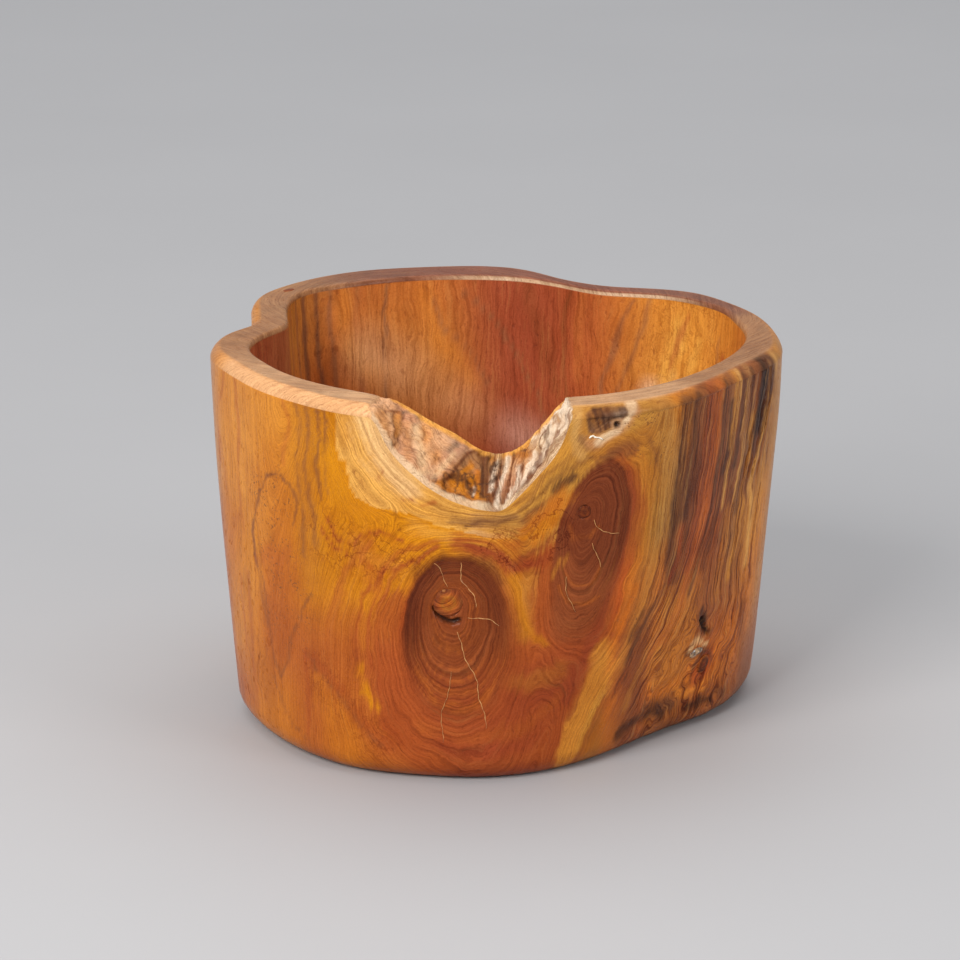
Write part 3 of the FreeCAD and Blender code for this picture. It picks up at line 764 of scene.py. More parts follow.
FACET_STROKES = [
    # the smooth facet right of the notch, round the hollow
    ("khaki", 9.0, 8.0, 0.75, [(40, 192), (52, 188), (66, 196)]),
    ("straw", 2.2, 2.6, 0.80, [(38, 198), (38, 186), (40, 176)]),
    ("olive", 2.2, 2.6, 0.70, [(43, 196), (42, 186), (45, 180)]),
    ("taupe", 1.6, 1.8, 0.80, [(41, 184), (44, 180), (50, 180)]),
    ("tan", 2.6, 2.4, 0.80, [(46, 182), (54, 184), (61, 189), (66, 196)]),
    ("cream", 1.7, 1.8, 0.85, [(49, 182), (56, 186), (62, 192), (66, 199)]),
    ("clay", 1.2, 1.8, 0.60, [(60, 196), (56, 190)]),
    ("bronze", 3.0, 4.0, 0.60, [(50, 176), (62, 180), (74, 184)]),
    ("brown", 2.0, 3.2, 0.60, [(56, 176), (62, 177), (66, 175)]),
    ("umber", 1.4, 2.2, 0.60, [(50, 173), (58, 175), (64, 172)]),
]

# ---------------------------------------------------------------- painting: broken face, rim, inside

# the white spots at the face's right end, high up, are painted highlight
NOTCH_WASH = [
    (-58, 196, "pink"), (-54, 186, "pink"), (-46, 192, "rose"), (-44, 180, "rose"), (-38, 188, "pink"),
    (-36, 172, "pink"), (-28, 182, "pink"), (-28, 168, "rose"), (-20, 180, "lilac"), (-32, 160, "rose"),
    (-14, 168, "clay"), (-20, 160, "bronze"), (-12, 156, "bronze"), (-6, 172, "brown"), (-6, 158, "brown"),
    (-4, 148, "brown"), (2, 172, "cream"), (3, 160, "rose"), (4, 150, "taupe"), (8, 168, "pink"),
    (10, 160, "rose"), (13, 176, "bronze"), (16, 166, "pink"), (20, 178, "cream"), (24, 186, "white"),
    (30, 192, "white"), (34, 198, "white"), (30, 182, "cream"), (34, 188, "white"),
]

NOTCH_STROKES = [
    # rounded knob at the left end and the cracks that outline it
    ("tan", 3.6, 3.0, 0.85, [(-57, 196), (-56, 188), (-54, 182)]),
    ("pink", 1.2, 2.0, 0.70, [(-55, 197), (-53.5, 190), (-53, 184)]),
    ("tan", 0.8, 1.2, 0.80, [(-58, 190), (-56, 184), (-53, 180)]),
    ("brown", 0.5, 0.9, 0.90, [(-58, 197), (-54, 199), (-50, 198.5)]),
    ("amber", 1.6, 1.8, 0.70, [(-50, 196), (-50.4, 187)]),
    ("umber", 0.25, 0.7, 0.80, [(-47, 199), (-47.4, 194), (-47.8, 189), (-49, 184)]),
    ("brown", 0.25, 0.7, 0.75, [(-52, 198), (-52.6, 193), (-52.4, 188), (-51.4, 184)]),
    ("umber", 0.3, 0.8, 0.85, [(-58, 184), (-55, 181.6), (-51.6, 180.6), (-49.4, 184)]),
    ("brown", 0.25, 0.7, 0.60, [(-44, 196), (-43, 189), (-43.6, 182), (-42, 176)]),
    ("brown", 0.25, 0.7, 0.50, [(-38, 193), (-36, 186), (-33, 180)]),
    ("grey", 0.6, 1.0, 0.60, [(-47, 199), (-43, 198.5), (-41, 196)]),
    # pink fibrous slope
    ("tan", 1.6, 2.4, 0.55, [(-46, 192), (-45, 182), (-46, 174)]),
    ("cream", 2.0, 2.6, 0.55, [(-41, 190), (-39, 180), (-37, 172)]),
    ("amber", 2.4, 3.0, 0.50, [(-36, 190), (-34, 182), (-30, 174)]),
    ("pink", 2.4, 3.0, 0.60, [(-33, 180), (-28, 184), (-24, 180)]),
    ("cream", 1.6, 2.4, 0.60, [(-38, 166), (-32, 167), (-26, 172)]),
    ("rose", 2.6, 3.4, 0.60, [(-34, 163), (-28, 168), (-24, 175), (-17, 181), (-12, 181)]),
    ("cream", 1.0, 2.0, 0.55, [(-32, 164), (-27, 170), (-22, 176)]),
    ("grey", 1.0, 1.6, 0.70, [(-24, 178), (-22, 181), (-20, 181)]),
    # dark lip and the brown, nugget-filled hollow under it
    ("clay", 4.0, 4.0, 0.80, [(-20, 168), (-12, 174), (-6, 170)]),
    ("bronze", 5.0, 4.0, 0.85, [(-24, 160), (-16, 162), (-10, 156)]),
    ("gold", 1.8, 2.0, 0.85, [(-21, 163), (-18, 160)]),
    ("gold", 1.6, 2.0, 0.80, [(-12, 163), (-9, 160), (-8, 154)]),
    ("orange", 1.2, 1.6, 0.80, [(-10, 167), (-9, 163)]),
    # a painted glint on the nugget
    ("white", 0.4, 0.8, 0.80, [(-10.5, 160.5), (-11.5, 156)]),
    ("gold", 1.0, 1.4, 0.80, [(-17, 167), (-13, 170)]),
    ("dark", 0.9, 1.2, 0.85, [(-15, 163), (-14.3, 160), (-13, 158)]),
    ("umber", 0.7, 1.0, 0.95, [(-32.4, 158), (-29, 161.8), (-23.4, 165.4), (-19.2, 171.1), (-15, 176.4),
                                (-10, 178), (-5.2, 175.5)]),
    ("dark", 1.0, 1.2, 0.90, [(-6.5, 176), (-4.5, 174.5), (-3, 174.8)]),
    ("umber", 1.5, 1.8, 0.85, [(-6.6, 176), (-5.2, 167), (-5.9, 159), (-5.2, 149)]),
    ("dark", 0.6, 1.0, 0.80, [(-7.5, 170), (-7, 162), (-7.6, 155), (-6, 150)]),
    ("brown", 1.0, 1.4, 0.80, [(-30, 158), (-22, 154), (-14, 152), (-8, 150)]),
    ("grey", 1.2, 1.6, 0.80, [(-10, 151), (-7, 149)]),
    # pale ridges flowing down to the lowest point; their white and the brown between them are partly
    # painted highlight and shade
    ("white", 0.9, 1.1, 0.90, [(6, 177), (5, 170), (3, 162), (0, 156), (0, 149)]),
    ("brown", 0.7, 0.9, 0.80, [(3, 176), (2, 168), (0, 161), (-2, 154)]),
    ("white", 0.8, 1.0, 0.85, [(0, 172), (-1.5, 165), (-3, 158)]),
    ("brown", 0.8, 1.0, 0.85, [(9, 177), (8, 168), (5, 158), (3, 149)]),
    ("white", 0.9, 1.1, 0.90, [(12, 170), (11, 163), (7, 156), (3, 148)]),
    ("umber", 0.5, 0.8, 0.80, [(14, 172), (13, 164), (9, 155)]),
    ("bronze", 2.2, 2.2, 0.80, [(9, 178), (13, 178), (16, 176)]),
    ("dark", 0.5, 0.8, 0.85, [(8, 176), (11, 179), (14, 179)]),
    ("white", 0.9, 1.1, 0.85, [(19, 178), (17, 170), (13, 160), (8, 152)]),
    ("brown", 0.6, 0.9, 0.80, [(21, 178), (19.5, 171), (15, 162), (10, 154)]),
    ("white", 1.4, 1.4, 0.90, [(34, 196), (30, 188), (24, 178), (18, 168)]),
    ("grey", 0.5, 0.8, 0.80, [(28, 191), (25, 186), (26, 181), (22, 174), (17, 165), (9, 155)]),
    ("umber", 0.4, 0.7, 0.75, [(26, 190), (22, 184), (22, 178), (19, 170)]),
    ("clay", 0.6, 0.9, 0.80, [(29, 195), (31, 197), (32, 194), (30, 193)]),
    ("brown", 0.5, 0.8, 0.70, [(31, 188), (27, 180), (21, 171), (14, 162)]),
]

RIM_WASH = [
    (0, "clay"), (30, "walnut"), (60, "backrim"), (90, "backrim"), (120, "walnut"), (138, "clay"),
    (150, "clay"), (165, "clay"), (180, "clay"), (200, "clay"), (215, "rimlight"), (228, "sand"),
    (240, "rimlight"), (289, "rimlight"), (300, "rimlight"), (315, "clay"), (330, "clay"), (345, "clay"),
]

INSIDE_WASH = [
    (150, 190, "bronze"), (150, 120, "burnt"), (118, 190, "bronze"), (112, 120, "burnt"),
    (96, 190, "burnt"), (92, 130, "burnt"), (62, 190, "copper"), (62, 150, "bronze"), (60, 100, "copper"),
    (34, 190, "copper"), (32, 145, "bronze"), (28, 100, "rust"), (0, 190, "brick"), (0, 145, "brick"),
    (0, 95, "brick"), (-34, 190, "brick"), (-36, 140, "brick"), (-36, 90, "heart"), (-62, 190, "rust"),
    (-64, 145, "rust"), (-66, 100, "rust"), (-90, 190, "copper"), (-90, 150, "copper"), (-90, 100, "burnt"),
    (-112, 190, "honey"), (-112, 150, "sapdeep"), (-114, 100, "orange"),
    (-135, 190, "amber"), (-135, 145, "honey"), (-135, 95, "burnt"), (-165, 190, "orange"),
    (-165, 140, "copper"), (-168, 90, "rust"), (-200, 170, "copper"), (-205, 90, "rust"),
    (0, 40, "heart"), (120, 50, "redbrown"), (-120, 50, "rust"),
    (190, 190, "redbrown"), (190, 120, "redbrown"), (230, 180, "brick"), (230, 110, "rust"),
    (270, 190, "burnt"), (270, 110, "rust"), (330, 180, "copper"), (330, 100, "rust"),
    (400, 180, "copper"), (400, 100, "rust"),
]

INSIDE_STROKES = [
    ("umber", 1.2, 1.6, 0.85, [(114, 199), (115, 160), (113, 125), (108, 100)]),
    ("brown", 0.7, 1.4, 0.75, [(123, 199), (124, 160), (121, 130)]),
    ("umber", 0.7, 1.4, 0.80, [(104, 199), (105, 160), (102, 120)]),
    ("brown", 0.7, 1.4, 0.70, [(96, 199), (97, 160), (93, 120)]),
    ("redbrown", 2.0, 3.0, 0.50, [(134, 198), (136, 150), (130, 110)]),
    ("umber", 0.8, 1.6, 0.80, [(62, 199), (63, 175), (66, 150), (63, 125)]),
    ("redbrown", 1.4, 3.0, 0.60, [(80, 198), (80, 160), (76, 120)]),
    ("orange", 4.0, 6.0, 0.50, [(86, 190), (84, 165), (72, 148)]),
    ("amber", 4.0, 8.0, 0.45, [(82, 158), (68, 150), (50, 148)]),
    ("orange", 3.0, 7.0, 0.40, [(40, 190), (30, 160), (14, 140)]),
    ("brown", 0.7, 1.8, 0.70, [(18, 190), (2, 178), (-10, 160), (-22, 140), (-34, 118)]),
    ("brown", 0.6, 1.6, 0.60, [(34, 186), (30, 170), (14, 156), (4, 140)]),
    ("heart", 3.0, 6.0, 0.50, [(-20, 196), (-30, 170), (-38, 140)]),
    ("heart", 1.0, 1.8, 0.80, [(-50, 199), (-46, 184), (-44, 160), (-48, 130), (-58, 100)]),
    ("burnt", 3.0, 4.0, 0.55, [(-60, 196), (-56, 176), (-58, 150)]),
    ("brown", 0.8, 1.6, 0.70, [(-94, 196), (-86, 176), (-78, 150), (-72, 128)]),
    ("brown", 0.6, 1.4, 0.60, [(-104, 198), (-98, 176), (-88, 150), (-82, 128)]),
    ("amber", 2.0, 4.0, 0.70, [(-118, 194), (-112, 172), (-106, 150), (-102, 130)]),
    ("sapdeep", 3.0, 5.0, 0.80, [(-122, 184), (-116, 162), (-110, 144), (-106, 128)]),
    ("sap", 1.6, 3.0, 0.60, [(-118, 156), (-113, 142)]),
    ("sapdeep", 2.4, 3.6, 0.75, [(-136, 178), (-128, 158), (-124, 140)]),
    ("amber", 3.0, 4.0, 0.60, [(-146, 190), (-142, 170), (-138, 150)]),
    ("rust", 2.2, 2.6, 0.85, [(-158, 170), (-162, 160), (-158, 150)]),
    ("brown", 0.7, 1.5, 0.60, [(-152, 180), (-150, 160), (-154, 142)]),
    ("rust", 0.8, 1.8, 0.60, [(-128, 192), (-120, 176), (-116, 160)]),
]

# the inside is painted lighter and paler than the palette by a gain and a thin veil, a painted reflection,
# with soft painted highlights
INSIDE_REFLECTION_GAIN = np.array([1.22, 1.34, 1.60])
INSIDE_REFLECTION_VEIL = np.array([0.010, 0.012, 0.010])
PAINTED_HIGHLIGHT_STROKES = [
    ("tan", 6.0, 22.0, 0.85, [(74, 158), (56, 148)]),
    ("tan", 6.0, 22.0, 0.42, [(36, 132), (14, 122)]),
    ("rose", 5.0, 18.0, 0.60, [(-12, 112), (-30, 104)]),
    ("cream", 2.0, 9.0, 0.55, [(-106, 146), (-103, 136)]),
]

HOLLOW = [
    (41.5, 196.5), (46.0, 199.2), (54.0, 199.4), (62.5, 198.4), (64.0, 194.5), (59.0, 190.0), (53.5, 187.0),
    (48.0, 184.5), (43.0, 186.0),
]
HOLLOW_DEPTH = 2.4
HOLLOW_STROKES = [
    ("olive", 3.0, 3.0, 0.60, [(46, 196), (50, 197)]),
    ("grey", 1.6, 2.4, 0.80, [(51, 195), (58, 194), (61, 196)]),
    ("umber", 0.6, 1.4, 0.60, [(43, 186), (48, 185.6), (54, 188), (60, 191.5)]),
    ("dark", 0.5, 1.2, 0.55, [(43.5, 197), (44, 191), (46, 187)]),
    ("dark", 0.8, 1.8, 0.55, [(52, 198), (54, 195), (56, 192)]),
    ("bronze", 1.0, 1.6, 0.70, [(47, 195), (49, 192)]),
]
WORM_HOLE = (across_at(292.0), 189.3, 2.0)      # across, height, radius
CRACK = [(138, 65), (141, 61), (144, 57.5), (148, 56)]


EYE_STROKES = [
    ("redbrown", 1.2, 2.0, 0.55, [(-34, 86), (-30, 70), (-20, 62), (-8, 66), (-3, 80)]),
    ("copper", 0.7, 1.3, 0.60, [(-38, 60), (-28, 44), (-14, 42), (-4, 52)]),
    ("copper", 0.5, 1.1, 0.45, [(-32, 58), (-24, 50), (-12, 50)]),
    ("heartdark", 1.5, 3.0, 0.60, [(-40, 100), (-38, 116), (-26, 122), (-8, 120), (1, 108)]),
    ("redbrown", 2.2, 3.0, 0.60, [(36, 118), (34, 108), (38, 98), (46, 94)]),
    ("bronze", 0.8, 1.4, 0.75, [(31, 120), (28, 114), (26, 110)]),
    ("bronze", 0.7, 1.3, 0.65, [(35, 122), (32, 116)]),
    ("copper", 0.5, 1.2, 0.55, [(30, 104), (35, 96), (44, 93), (52, 98)]),
    ("copper", 0.5, 1.2, 0.45, [(33, 112), (38, 106), (46, 106), (52, 112)]),
    ("copper", 0.4, 1.1, 0.40, [(36, 138), (38, 130), (46, 129), (51, 136)]),
]
# rings on the figures: (place as a share of the outer ellipse, width, strength)
LEFT_EDGE_RINGS = [
    (0.74, 0.02, 0.25), (0.84, 0.028, 0.45), (0.93, 0.03, 0.55), (1.02, 0.022, 0.45), (1.12, 0.02, 0.35),
    (1.24, 0.022, 0.25),
]
LEFT_FOOT_RINGS = [
    (0.58, 0.012, 0.45), (0.66, 0.010, 0.40), (0.74, 0.012, 0.55), (0.83, 0.012, 0.50), (0.97, 0.016, 0.70),
]
LEFT_CORE_RINGS = [(0.32, 0.012, 0.45), (0.40, 0.010, 0.35), (0.47, 0.012, 0.40)]
RIGHT_EDGE_RINGS = [(0.72, 0.03, 0.2), (0.84, 0.03, 0.35), (0.94, 0.035, 0.45)]


def flat_tone(name):
    """The whole skin in one colour."""
    return np.broadcast_to(COLOURS[name], skin.shape).copy()


def warm_streaks(tone):
    """The streaky wood is painted warmer and lighter, most of all low down."""
    warm = ease(84.0, 100.0, across) * (1.0 - ease(186.0, 204.0, across))
    low = warm * (1.0 - ease(112.0, 160.0, height))
    band = ease(56.0, 66.0, across) * (1.0 - ease(90.0, 104.0, across))
    low_band = band * (1.0 - ease(100.0, 130.0, height))
    tone *= 1.0 + warm[..., None] * [0.30, 0.18, 0.04]
    tone *= 1.0 + low[..., None] * [0.14, 0.10, -0.05]
    tone *= 1.0 + low_band[..., None] * [0.28, 0.06, 0.0]


def paint_figures(tone):
    """The two dark figures: crisp above and on the outer side, melting away towards the foot."""
    melt = ease(-30.0, 6.0, across) * 0.18 + (1.0 - ease(50.0, 90.0, height)) * 0.22
    left_edge = left_scale + 0.05 * fray
    left_mask = 1.0 - ease(0.96 - melt, 1.04 + melt, left_edge)
    halo = (1.0 - ease(1.0, 1.32, left_edge)) * (1.0 - 0.75 * ease(104.0, 122.0, height))
    blend_in(tone, "rust", 0.75 * halo)
    blend_in(tone, "heart", left_mask)
    blend_in(tone, "heartdark", 0.75 * left_mask * ease(0.35, 0.9, left_scale) * ease(58.0, 96.0, height))
    blend_in(tone, "brick", 0.55 * left_mask * (1.0 - ease(44.0, 78.0, height)))
    blend_in(tone, "redbrown", 0.6 * (1.0 - ease(0.15, 0.5, left_scale)))
    right_melt = (1.0 - ease(96.0, 132.0, height)) * 0.2
    right_edge = right_scale + 0.05 * fray
    right_mask = 1.0 - ease(0.95 - right_melt, 1.06 + right_melt, right_edge)
    blend_in(tone, "deep", right_mask)
    blend_in(tone, "redbrown", 0.3 * right_mask)
    right_foot = 1.0 - ease(92.0, 128.0, height + 0.4 * (across - 45.0))
    blend_in(tone, "redbrown", 0.85 * right_mask * right_foot)
    brush(tone, wall_x, wall_y, EYE_STROKES, 0.5 * fray)
    crisp = (1.0 - 0.8 * ease(-26.0, 4.0, across)) * ease(40.0, 66.0, height)
    darken_rings(tone, left_edge, LEFT_EDGE_RINGS, crisp)
    foot = (1.0 - ease(62.0, 80.0, height)) * ease(-46.0, -34.0, across) * (1.0 - ease(6.0, 14.0, across))
    tint_rings(tone, "burnt", left_edge, LEFT_FOOT_RINGS, foot)
    core = 1.0 - ease(0.50, 0.62, left_edge)
    tint_rings(tone, "copper", left_edge, LEFT_CORE_RINGS, core)
    crisp = ease(44.0, 62.0, across + 0.3 * (height - 130.0)) * ease(96.0, 116.0, height)
    darken_rings(tone, right_edge, RIGHT_EDGE_RINGS, crisp)


def paint_ground():
    """The whole skin's colour, before the grain is added in the material."""
    tone = wash(across, height, WALL_WASH, 15.0, 26.0)
    # like the front, the back darkens towards the foot, partly painted shade
    levels = ((190, "amber"), (120, "honey"), (50, "orange"), (5, "burnt"))
    back_spots = [(u, z, name) for u in (-400, -320, -250, 250, 330, 410) for z, name in levels]
    back = wash(across, height, back_spots, 60.0, 40.0)
    tone += ease(215.0, 250.0, np.abs(across))[..., None] * (back - tone)
    brush(tone, wall_x, wall_y, WALL_STROKES, fray)
    warm_streaks(tone)
    paint_figures(tone)

    pale = inside_outline_mask(across + 0.7 * wander_x, height + 0.6 * wander_y, SAPWOOD) & outside
    over = flat_tone("sap")
    brush(over, wall_x, wall_y, SAP_STROKES, fray)
    pale_share = pale * (1.0 - 0.8 * ease(-16.0, 6.0, across))
    tone += pale_share[..., None] * (over - tone)
    brush(tone, wall_x, wall_y, BESIDE_STROKES, fray)
    brush(tone, across + 0.5 * wander_x, height + 0.5 * wander_y, FACET_STROKES, 0.5 * fray)
    return tone


def paint_inside(tone):
    """The hollow's wall and floor."""
    place = np.mod(across_inside - INSIDE_SEAM, INSIDE_LENGTH) + INSIDE_SEAM - INSIDE_LENGTH
    ground = wash(place, height, INSIDE_WASH, 22.0, 34.0)
    brush(ground, place + wander_x, height + wander_y, INSIDE_STROKES, 0.6 * fray)
    # painted highlights on the inside wall
    brush(ground, place, height, PAINTED_HIGHLIGHT_STROKES)
    # the gain and veil paint the lacquer's soft reflection over the inside
    return np.where(inside[..., None], INSIDE_REFLECTION_GAIN * ground + INSIDE_REFLECTION_VEIL, tone)


def paint_top(tone):
    """Flat rim, its bevel, and the broken face."""
    spots = [(at + turn_on, 0.0, name) for at, name in RIM_WASH for turn_on in (-360, 0, 360)]
    rim = wash(angle, 0.0 * height, spots, 12.0, 1.0)
    rim_grain = noise(skin * np.array([1.0, 1.0, 0.2]), 9.0, 3, 31)
    rim *= (1.0 + 0.16 * rim_grain)[..., None]
    from_out = share * (wall_radius(angle, HEIGHT) - cavity_radius(angle, HEIGHT))
    # front_left marks where the bevel gets its painted highlight
    front_left = ease(196.0, 206.0, angle) * (1.0 - ease(252.0, 256.0, angle))
    bevel = (1.0 - ease(3.0, 6.5, from_out))[..., None]
    edge_tone = tone * 0.9 + 0.1 * COLOURS["sand"]
    rim += bevel * (edge_tone - rim)
    # the front-left bevel is painted pale pink: a painted highlight where the light catches it
    rim += bevel * (0.85 * front_left)[..., None] * (COLOURS["pink"] * [1.1, 1.1, 0.95] - rim)
    # a thin cream line along the back of the inner edge: a painted highlight
    painted_edge_highlight = ease(0.96, 0.985, share) * ease(24.0, 44.0, angle) * (1.0 - ease(90.0, 112.0, angle))
    blend_in(rim, "cream", 0.8 * painted_edge_highlight)

    face = wash(front_x, front_y, NOTCH_WASH, 5.5, 6.5)
    sway_x = front_x + 0.5 * noise(skin, 7.0, 2, 33)
    sway_y = front_y + 0.5 * noise(skin, 7.0, 2, 34)
    brush(face, sway_x, sway_y, NOTCH_STROKES)
    # splintered brown and gold under the lip
    splinters = near_path(front_x, front_y, [(-24, 160), (-8, 160), (-6, 172)], 6.0, 12.0)
    blend_in(face, "amber", 0.6 * splinters * ease(0.15, 0.5, noise(skin, 5.0, 2, 49)))
    veins = 1.0 - ease(0.04, 0.22, np.abs(noise(skin, 5.5, 3, 48)))
    blend_in(face, "dark", (0.65 * splinters + 0.18) * veins)
    face *= np.array([0.93, 0.87, 0.76])
    at_left = 1.0 - ease(-6.0, 2.0, front_x)
    at_right = ease(-2.0, 6.0, front_x)
    inner_band = ease(0.86, 0.93, share) * at_left + ease(0.84, 0.92, share) * at_right
    face += (0.9 * inner_band)[..., None] * (COLOURS["sapdeep"] * [1.05, 1.05, 1.3] - face)
    outer_band = (1.0 - ease(0.05, 0.12, share)) * (at_right + 0.8 * at_left)
    blend_in(face, "cream", 0.8 * np.clip(outer_band, 0.0, 1.0))
    torn = ease(0.35, 0.65, broken)[..., None]
    return np.where(topside[..., None], rim + torn * (face - rim), tone)


tone = paint_top(paint_inside(paint_ground()))
on_bevel = topside & (share < 0.3) & (broken < 0.3)
hollow_depth = -signed_distance(across, height, HOLLOW)
in_hollow = (ease(-0.3, 1.2, hollow_depth) * (outside | on_bevel))[..., None]
hollow_tone = flat_tone("taupe")
brush(hollow_tone, across + 0.6 * wander_x, height + 0.6 * wander_y, HOLLOW_STROKES)
upright_place = np.stack([(across + 0.25 * height) / 1.9, height / 22.0, 0.0 * across], axis=-1)
upright = noise(upright_place, 1.0, 2, 47)
blend_in(hollow_tone, "umber", 0.45 * ease(41.0, 44.0, across) * (1.0 - ease(52.0, 58.0, across)))
blend_in(hollow_tone, "dark", 0.85 * ease(-0.1, 0.35, upright) * (1.0 - 0.6 * ease(54.0, 62.0, across)))
tone += in_hollow * (hollow_tone - tone)
worm_across, worm_height, worm_radius = WORM_HOLE
worm = np.hypot(across - worm_across, height - worm_height) + 1e3 * ~outside
blend_in(tone, "sand", 0.7 * (1.0 - ease(worm_radius, worm_radius + 2.2, worm)))
# the worm hole's core is painted black: painted shade in the hole
blend_in(tone, "black", 1.0 - ease(worm_radius - 1.0, worm_radius + 0.3, worm))

# ---------------------------------------------------------------- how strongly each kind of grain shows

eyes = 1.0 - ease(0.95, 1.1, np.minimum(left_scale, right_scale))
streaky = ease(70.0, 95.0, across) * (1.0 - ease(186.0, 196.0, across)) * outside
lower_right = streaky * (1.0 - ease(55.0, 85.0, height))
face_part = topside * ease(0.35, 0.65, broken)
rim_part = topside * (1.0 - face_part)
ring_gain = 0.34 + 0.14 * eyes - 0.2 * streaky + 0.05 * rim_part - 0.22 * face_part
ring_gain = np.where(outside & (across < -100.0), 0.26, ring_gain)
ring_gain = np.where(inside, 0.24, ring_gain)
ring_gain = ring_gain - 0.12 * rim_part * (share < 0.45)
in_sap = inside_outline_mask(across, height, SAPWOOD) & outside
ring_gain = np.where(in_sap, 0.54, ring_gain)
streak_gain = 0.16 + 0.8 * streaky + 0.1 * rim_part + 0.14 * inside - 0.06 * eyes
streak_gain = streak_gain + face_part * (0.16 + 0.36 * ease(-12.0, 0.0, front_x))
saddle = near_path(across, height, [(0, 128), (14, 120), (28, 132), (26, 146)], 6.0, 16.0)
gold_left = near_path(across, height, [(-84, 128), (-66, 122), (-48, 124)], 8.0, 22.0)
low_left = near_path(across, height, [(-92, 52), (-74, 36), (-58, 20)], 6.0, 16.0)
crackle = np.maximum.reduce([saddle, 0.8 * gold_left, 0.5 * low_left]) * outside
crackle = np.maximum(crackle, 0.5 * inside * (1.0 - ease(-120.0, -80.0, across_inside)))
burl = near_path(across, height, [(-125, 138), (-120, 110), (-112, 80)], 14.0, 26.0)
speckle = near_path(across, height, [(66, 190), (80, 176)], 7.0, 16.0)
speckle = np.maximum(speckle, near_path(across, height, [(72, 84), (82, 74)], 5.0, 14.0))
pits = np.maximum(burl, speckle) * outside + 0.5 * face_part

# ---------------------------------------------------------------- real relief, along the skin's normal

KNOTS = {                       # across, height, half width, half height
    "knot_front_left": (across_at(261.2), 98.0, 7.0, 8.0),
    "knot_front_right": (across_at(286.2), 144.3, 3.3, 3.6),
    "knot_lower_right": (across_at(327.1), 36.5, 4.5, 5.5),
}
KNOT_DEPTH = 2.6
KNOT_PROUD = 0.12               # how far a knot's edge stands out of the wall
GAP_DEPTH = 2.6                 # the open crescent under the left knot
GAP_PATH = [(-6.6, 94.8), (-5.0, 91.2), (-2.0, 88.6), (1.4, 87.6), (4.6, 88.6)]


def normals_of(points, rows, columns):
    """Unit normals of a closed grid of points, out of the wood."""
    points = points.reshape(rows, columns, 3)
    over = np.roll(points, -1, axis=1) - np.roll(points, 1, axis=1)
    up = np.gradient(points, axis=0)
    normal = np.cross(over, up)
    return (normal / np.maximum(np.linalg.norm(normal, axis=-1, keepdims=True), 1e-9)).reshape(-1, 3)


normal = np.concatenate([
    normals_of(skin[:shell_count], shell_rows, shell_columns),
    normals_of(skin[shell_count:], lining_rows, lining_columns),
])
lift = 0.35 * noise(skin, 55.0, 2, 41) * (side != 1)
fibre_ridges = np.abs(np.mod(fibre / 2.6 + 0.3 * fray, 1.0) - 0.5) * 2.0
ridges = 1.4 * (fibre_ridges - 0.5) * ease(-10.0, 0.0, front_x) + 0.6 * (fibre_ridges - 0.5)
hollows = -3.2 * near_path(front_x, front_y, [(-22, 161), (-12, 158), (-6, 160)], 2.0, 7.0)
lip = 0.8 * near_path(front_x, front_y, [(-31, 160), (-19, 172), (-9, 179)], 0.5, 3.0)
knob = 2.0 * near_path(front_x, front_y, [(-56, 195), (-54, 184)], 0.5, 5.5)
crack = -0.9 * near_path(front_x, front_y, [(-47.4, 199), (-47.8, 192), (-49, 184)], 0.2, 1.2)
rough = 1.4 * noise(skin, 8.0, 4, 42) + 0.7 * noise(skin, 2.8, 2, 43)
middle = ease(0.0, 0.09, share) * (1.0 - ease(0.9, 1.0, share))
lift = lift + face_part * middle * (ridges + hollows + lip + knob + crack + rough)

strip = near_path(across, height, [(180, 198), (177, 165), (172, 145)], 6.0, 11.0)
grooves = 0.25 * streaky * np.clip(fray, 0.0, 1.0) + 1.1 * strip * np.clip(fray, -0.2, 1.0)
lift = lift - outside * grooves
lift = lift + 0.5 * lower_right * noise(skin, 14.0, 3, 45)
lift = lift - outside * HOLLOW_DEPTH * 0.8 * ease(0.0, 3.4, hollow_depth)
lift = lift + outside * ease(0.5, 2.5, hollow_depth) * 1.1 * noise(skin, 3.5, 3, 46)
lift = lift - 3.0 * (1.0 - ease(worm_radius - 1.8, worm_radius + 0.4, worm))
lift = lift - outside * 2.2 * near_path(across, height, CRACK, 0.4, 1.5)
for knot_across, knot_height, half_width, half_height in KNOTS.values():
    reach = np.hypot((across - knot_across) / half_width, (height - knot_height) / half_height)
    lift = lift - outside * KNOT_DEPTH * (1.0 - ease(0.72, 0.95, reach))
left_knot_across = KNOTS["knot_front_left"][0]
in_gap = outside * near_path(across - left_knot_across, height, GAP_PATH, 0.5, 1.9)
lift = lift - GAP_DEPTH * in_gap
# painted shade: the open crescent under the left knot is painted black
blend_in(tone, "black", 0.96 * in_gap)
# painted shade: the crack is painted black
blend_in(tone, "black", 0.9 * outside * near_path(across, height, CRACK, 0.3, 1.2))
skin = skin + lift[..., None] * normal
skin[..., 2] = np.where(height < 0.01, 0.0, skin[..., 2])

# ---------------------------------------------------------------- meshes


def add_mesh(name, points_mm, faces, attributes=()):
    """A smooth-shaded mesh object from millimetre points, with named per-point values."""
    shift = np.array([AXIS[0], AXIS[1], 0.0])
    mesh = bpy.data.meshes.new(name)
    mesh.from_pydata(((np.asarray(points_mm) + shift) * MM).tolist(), [], faces)
    for key, kind, values in attributes:
        layer = mesh.attributes.new(key, kind, "POINT")
        slot_name = "color" if kind == "FLOAT_COLOR" else "value"
        layer.data.foreach_set(slot_name, np.ascontiguousarray(values, dtype=np.float32).ravel())
    mesh.validate()
    mesh.shade_smooth()
    item = bpy.data.objects.new(name, mesh)
    bpy.context.scene.collection.objects.link(item)
    return item


def with_alpha(tones):
    """Colours clipped to 0..1, with a fourth value of 1."""
    return np.concatenate([np.clip(tones, 0.0, 1.0), np.ones(tones.shape[:-1] + (1,))], axis=-1)


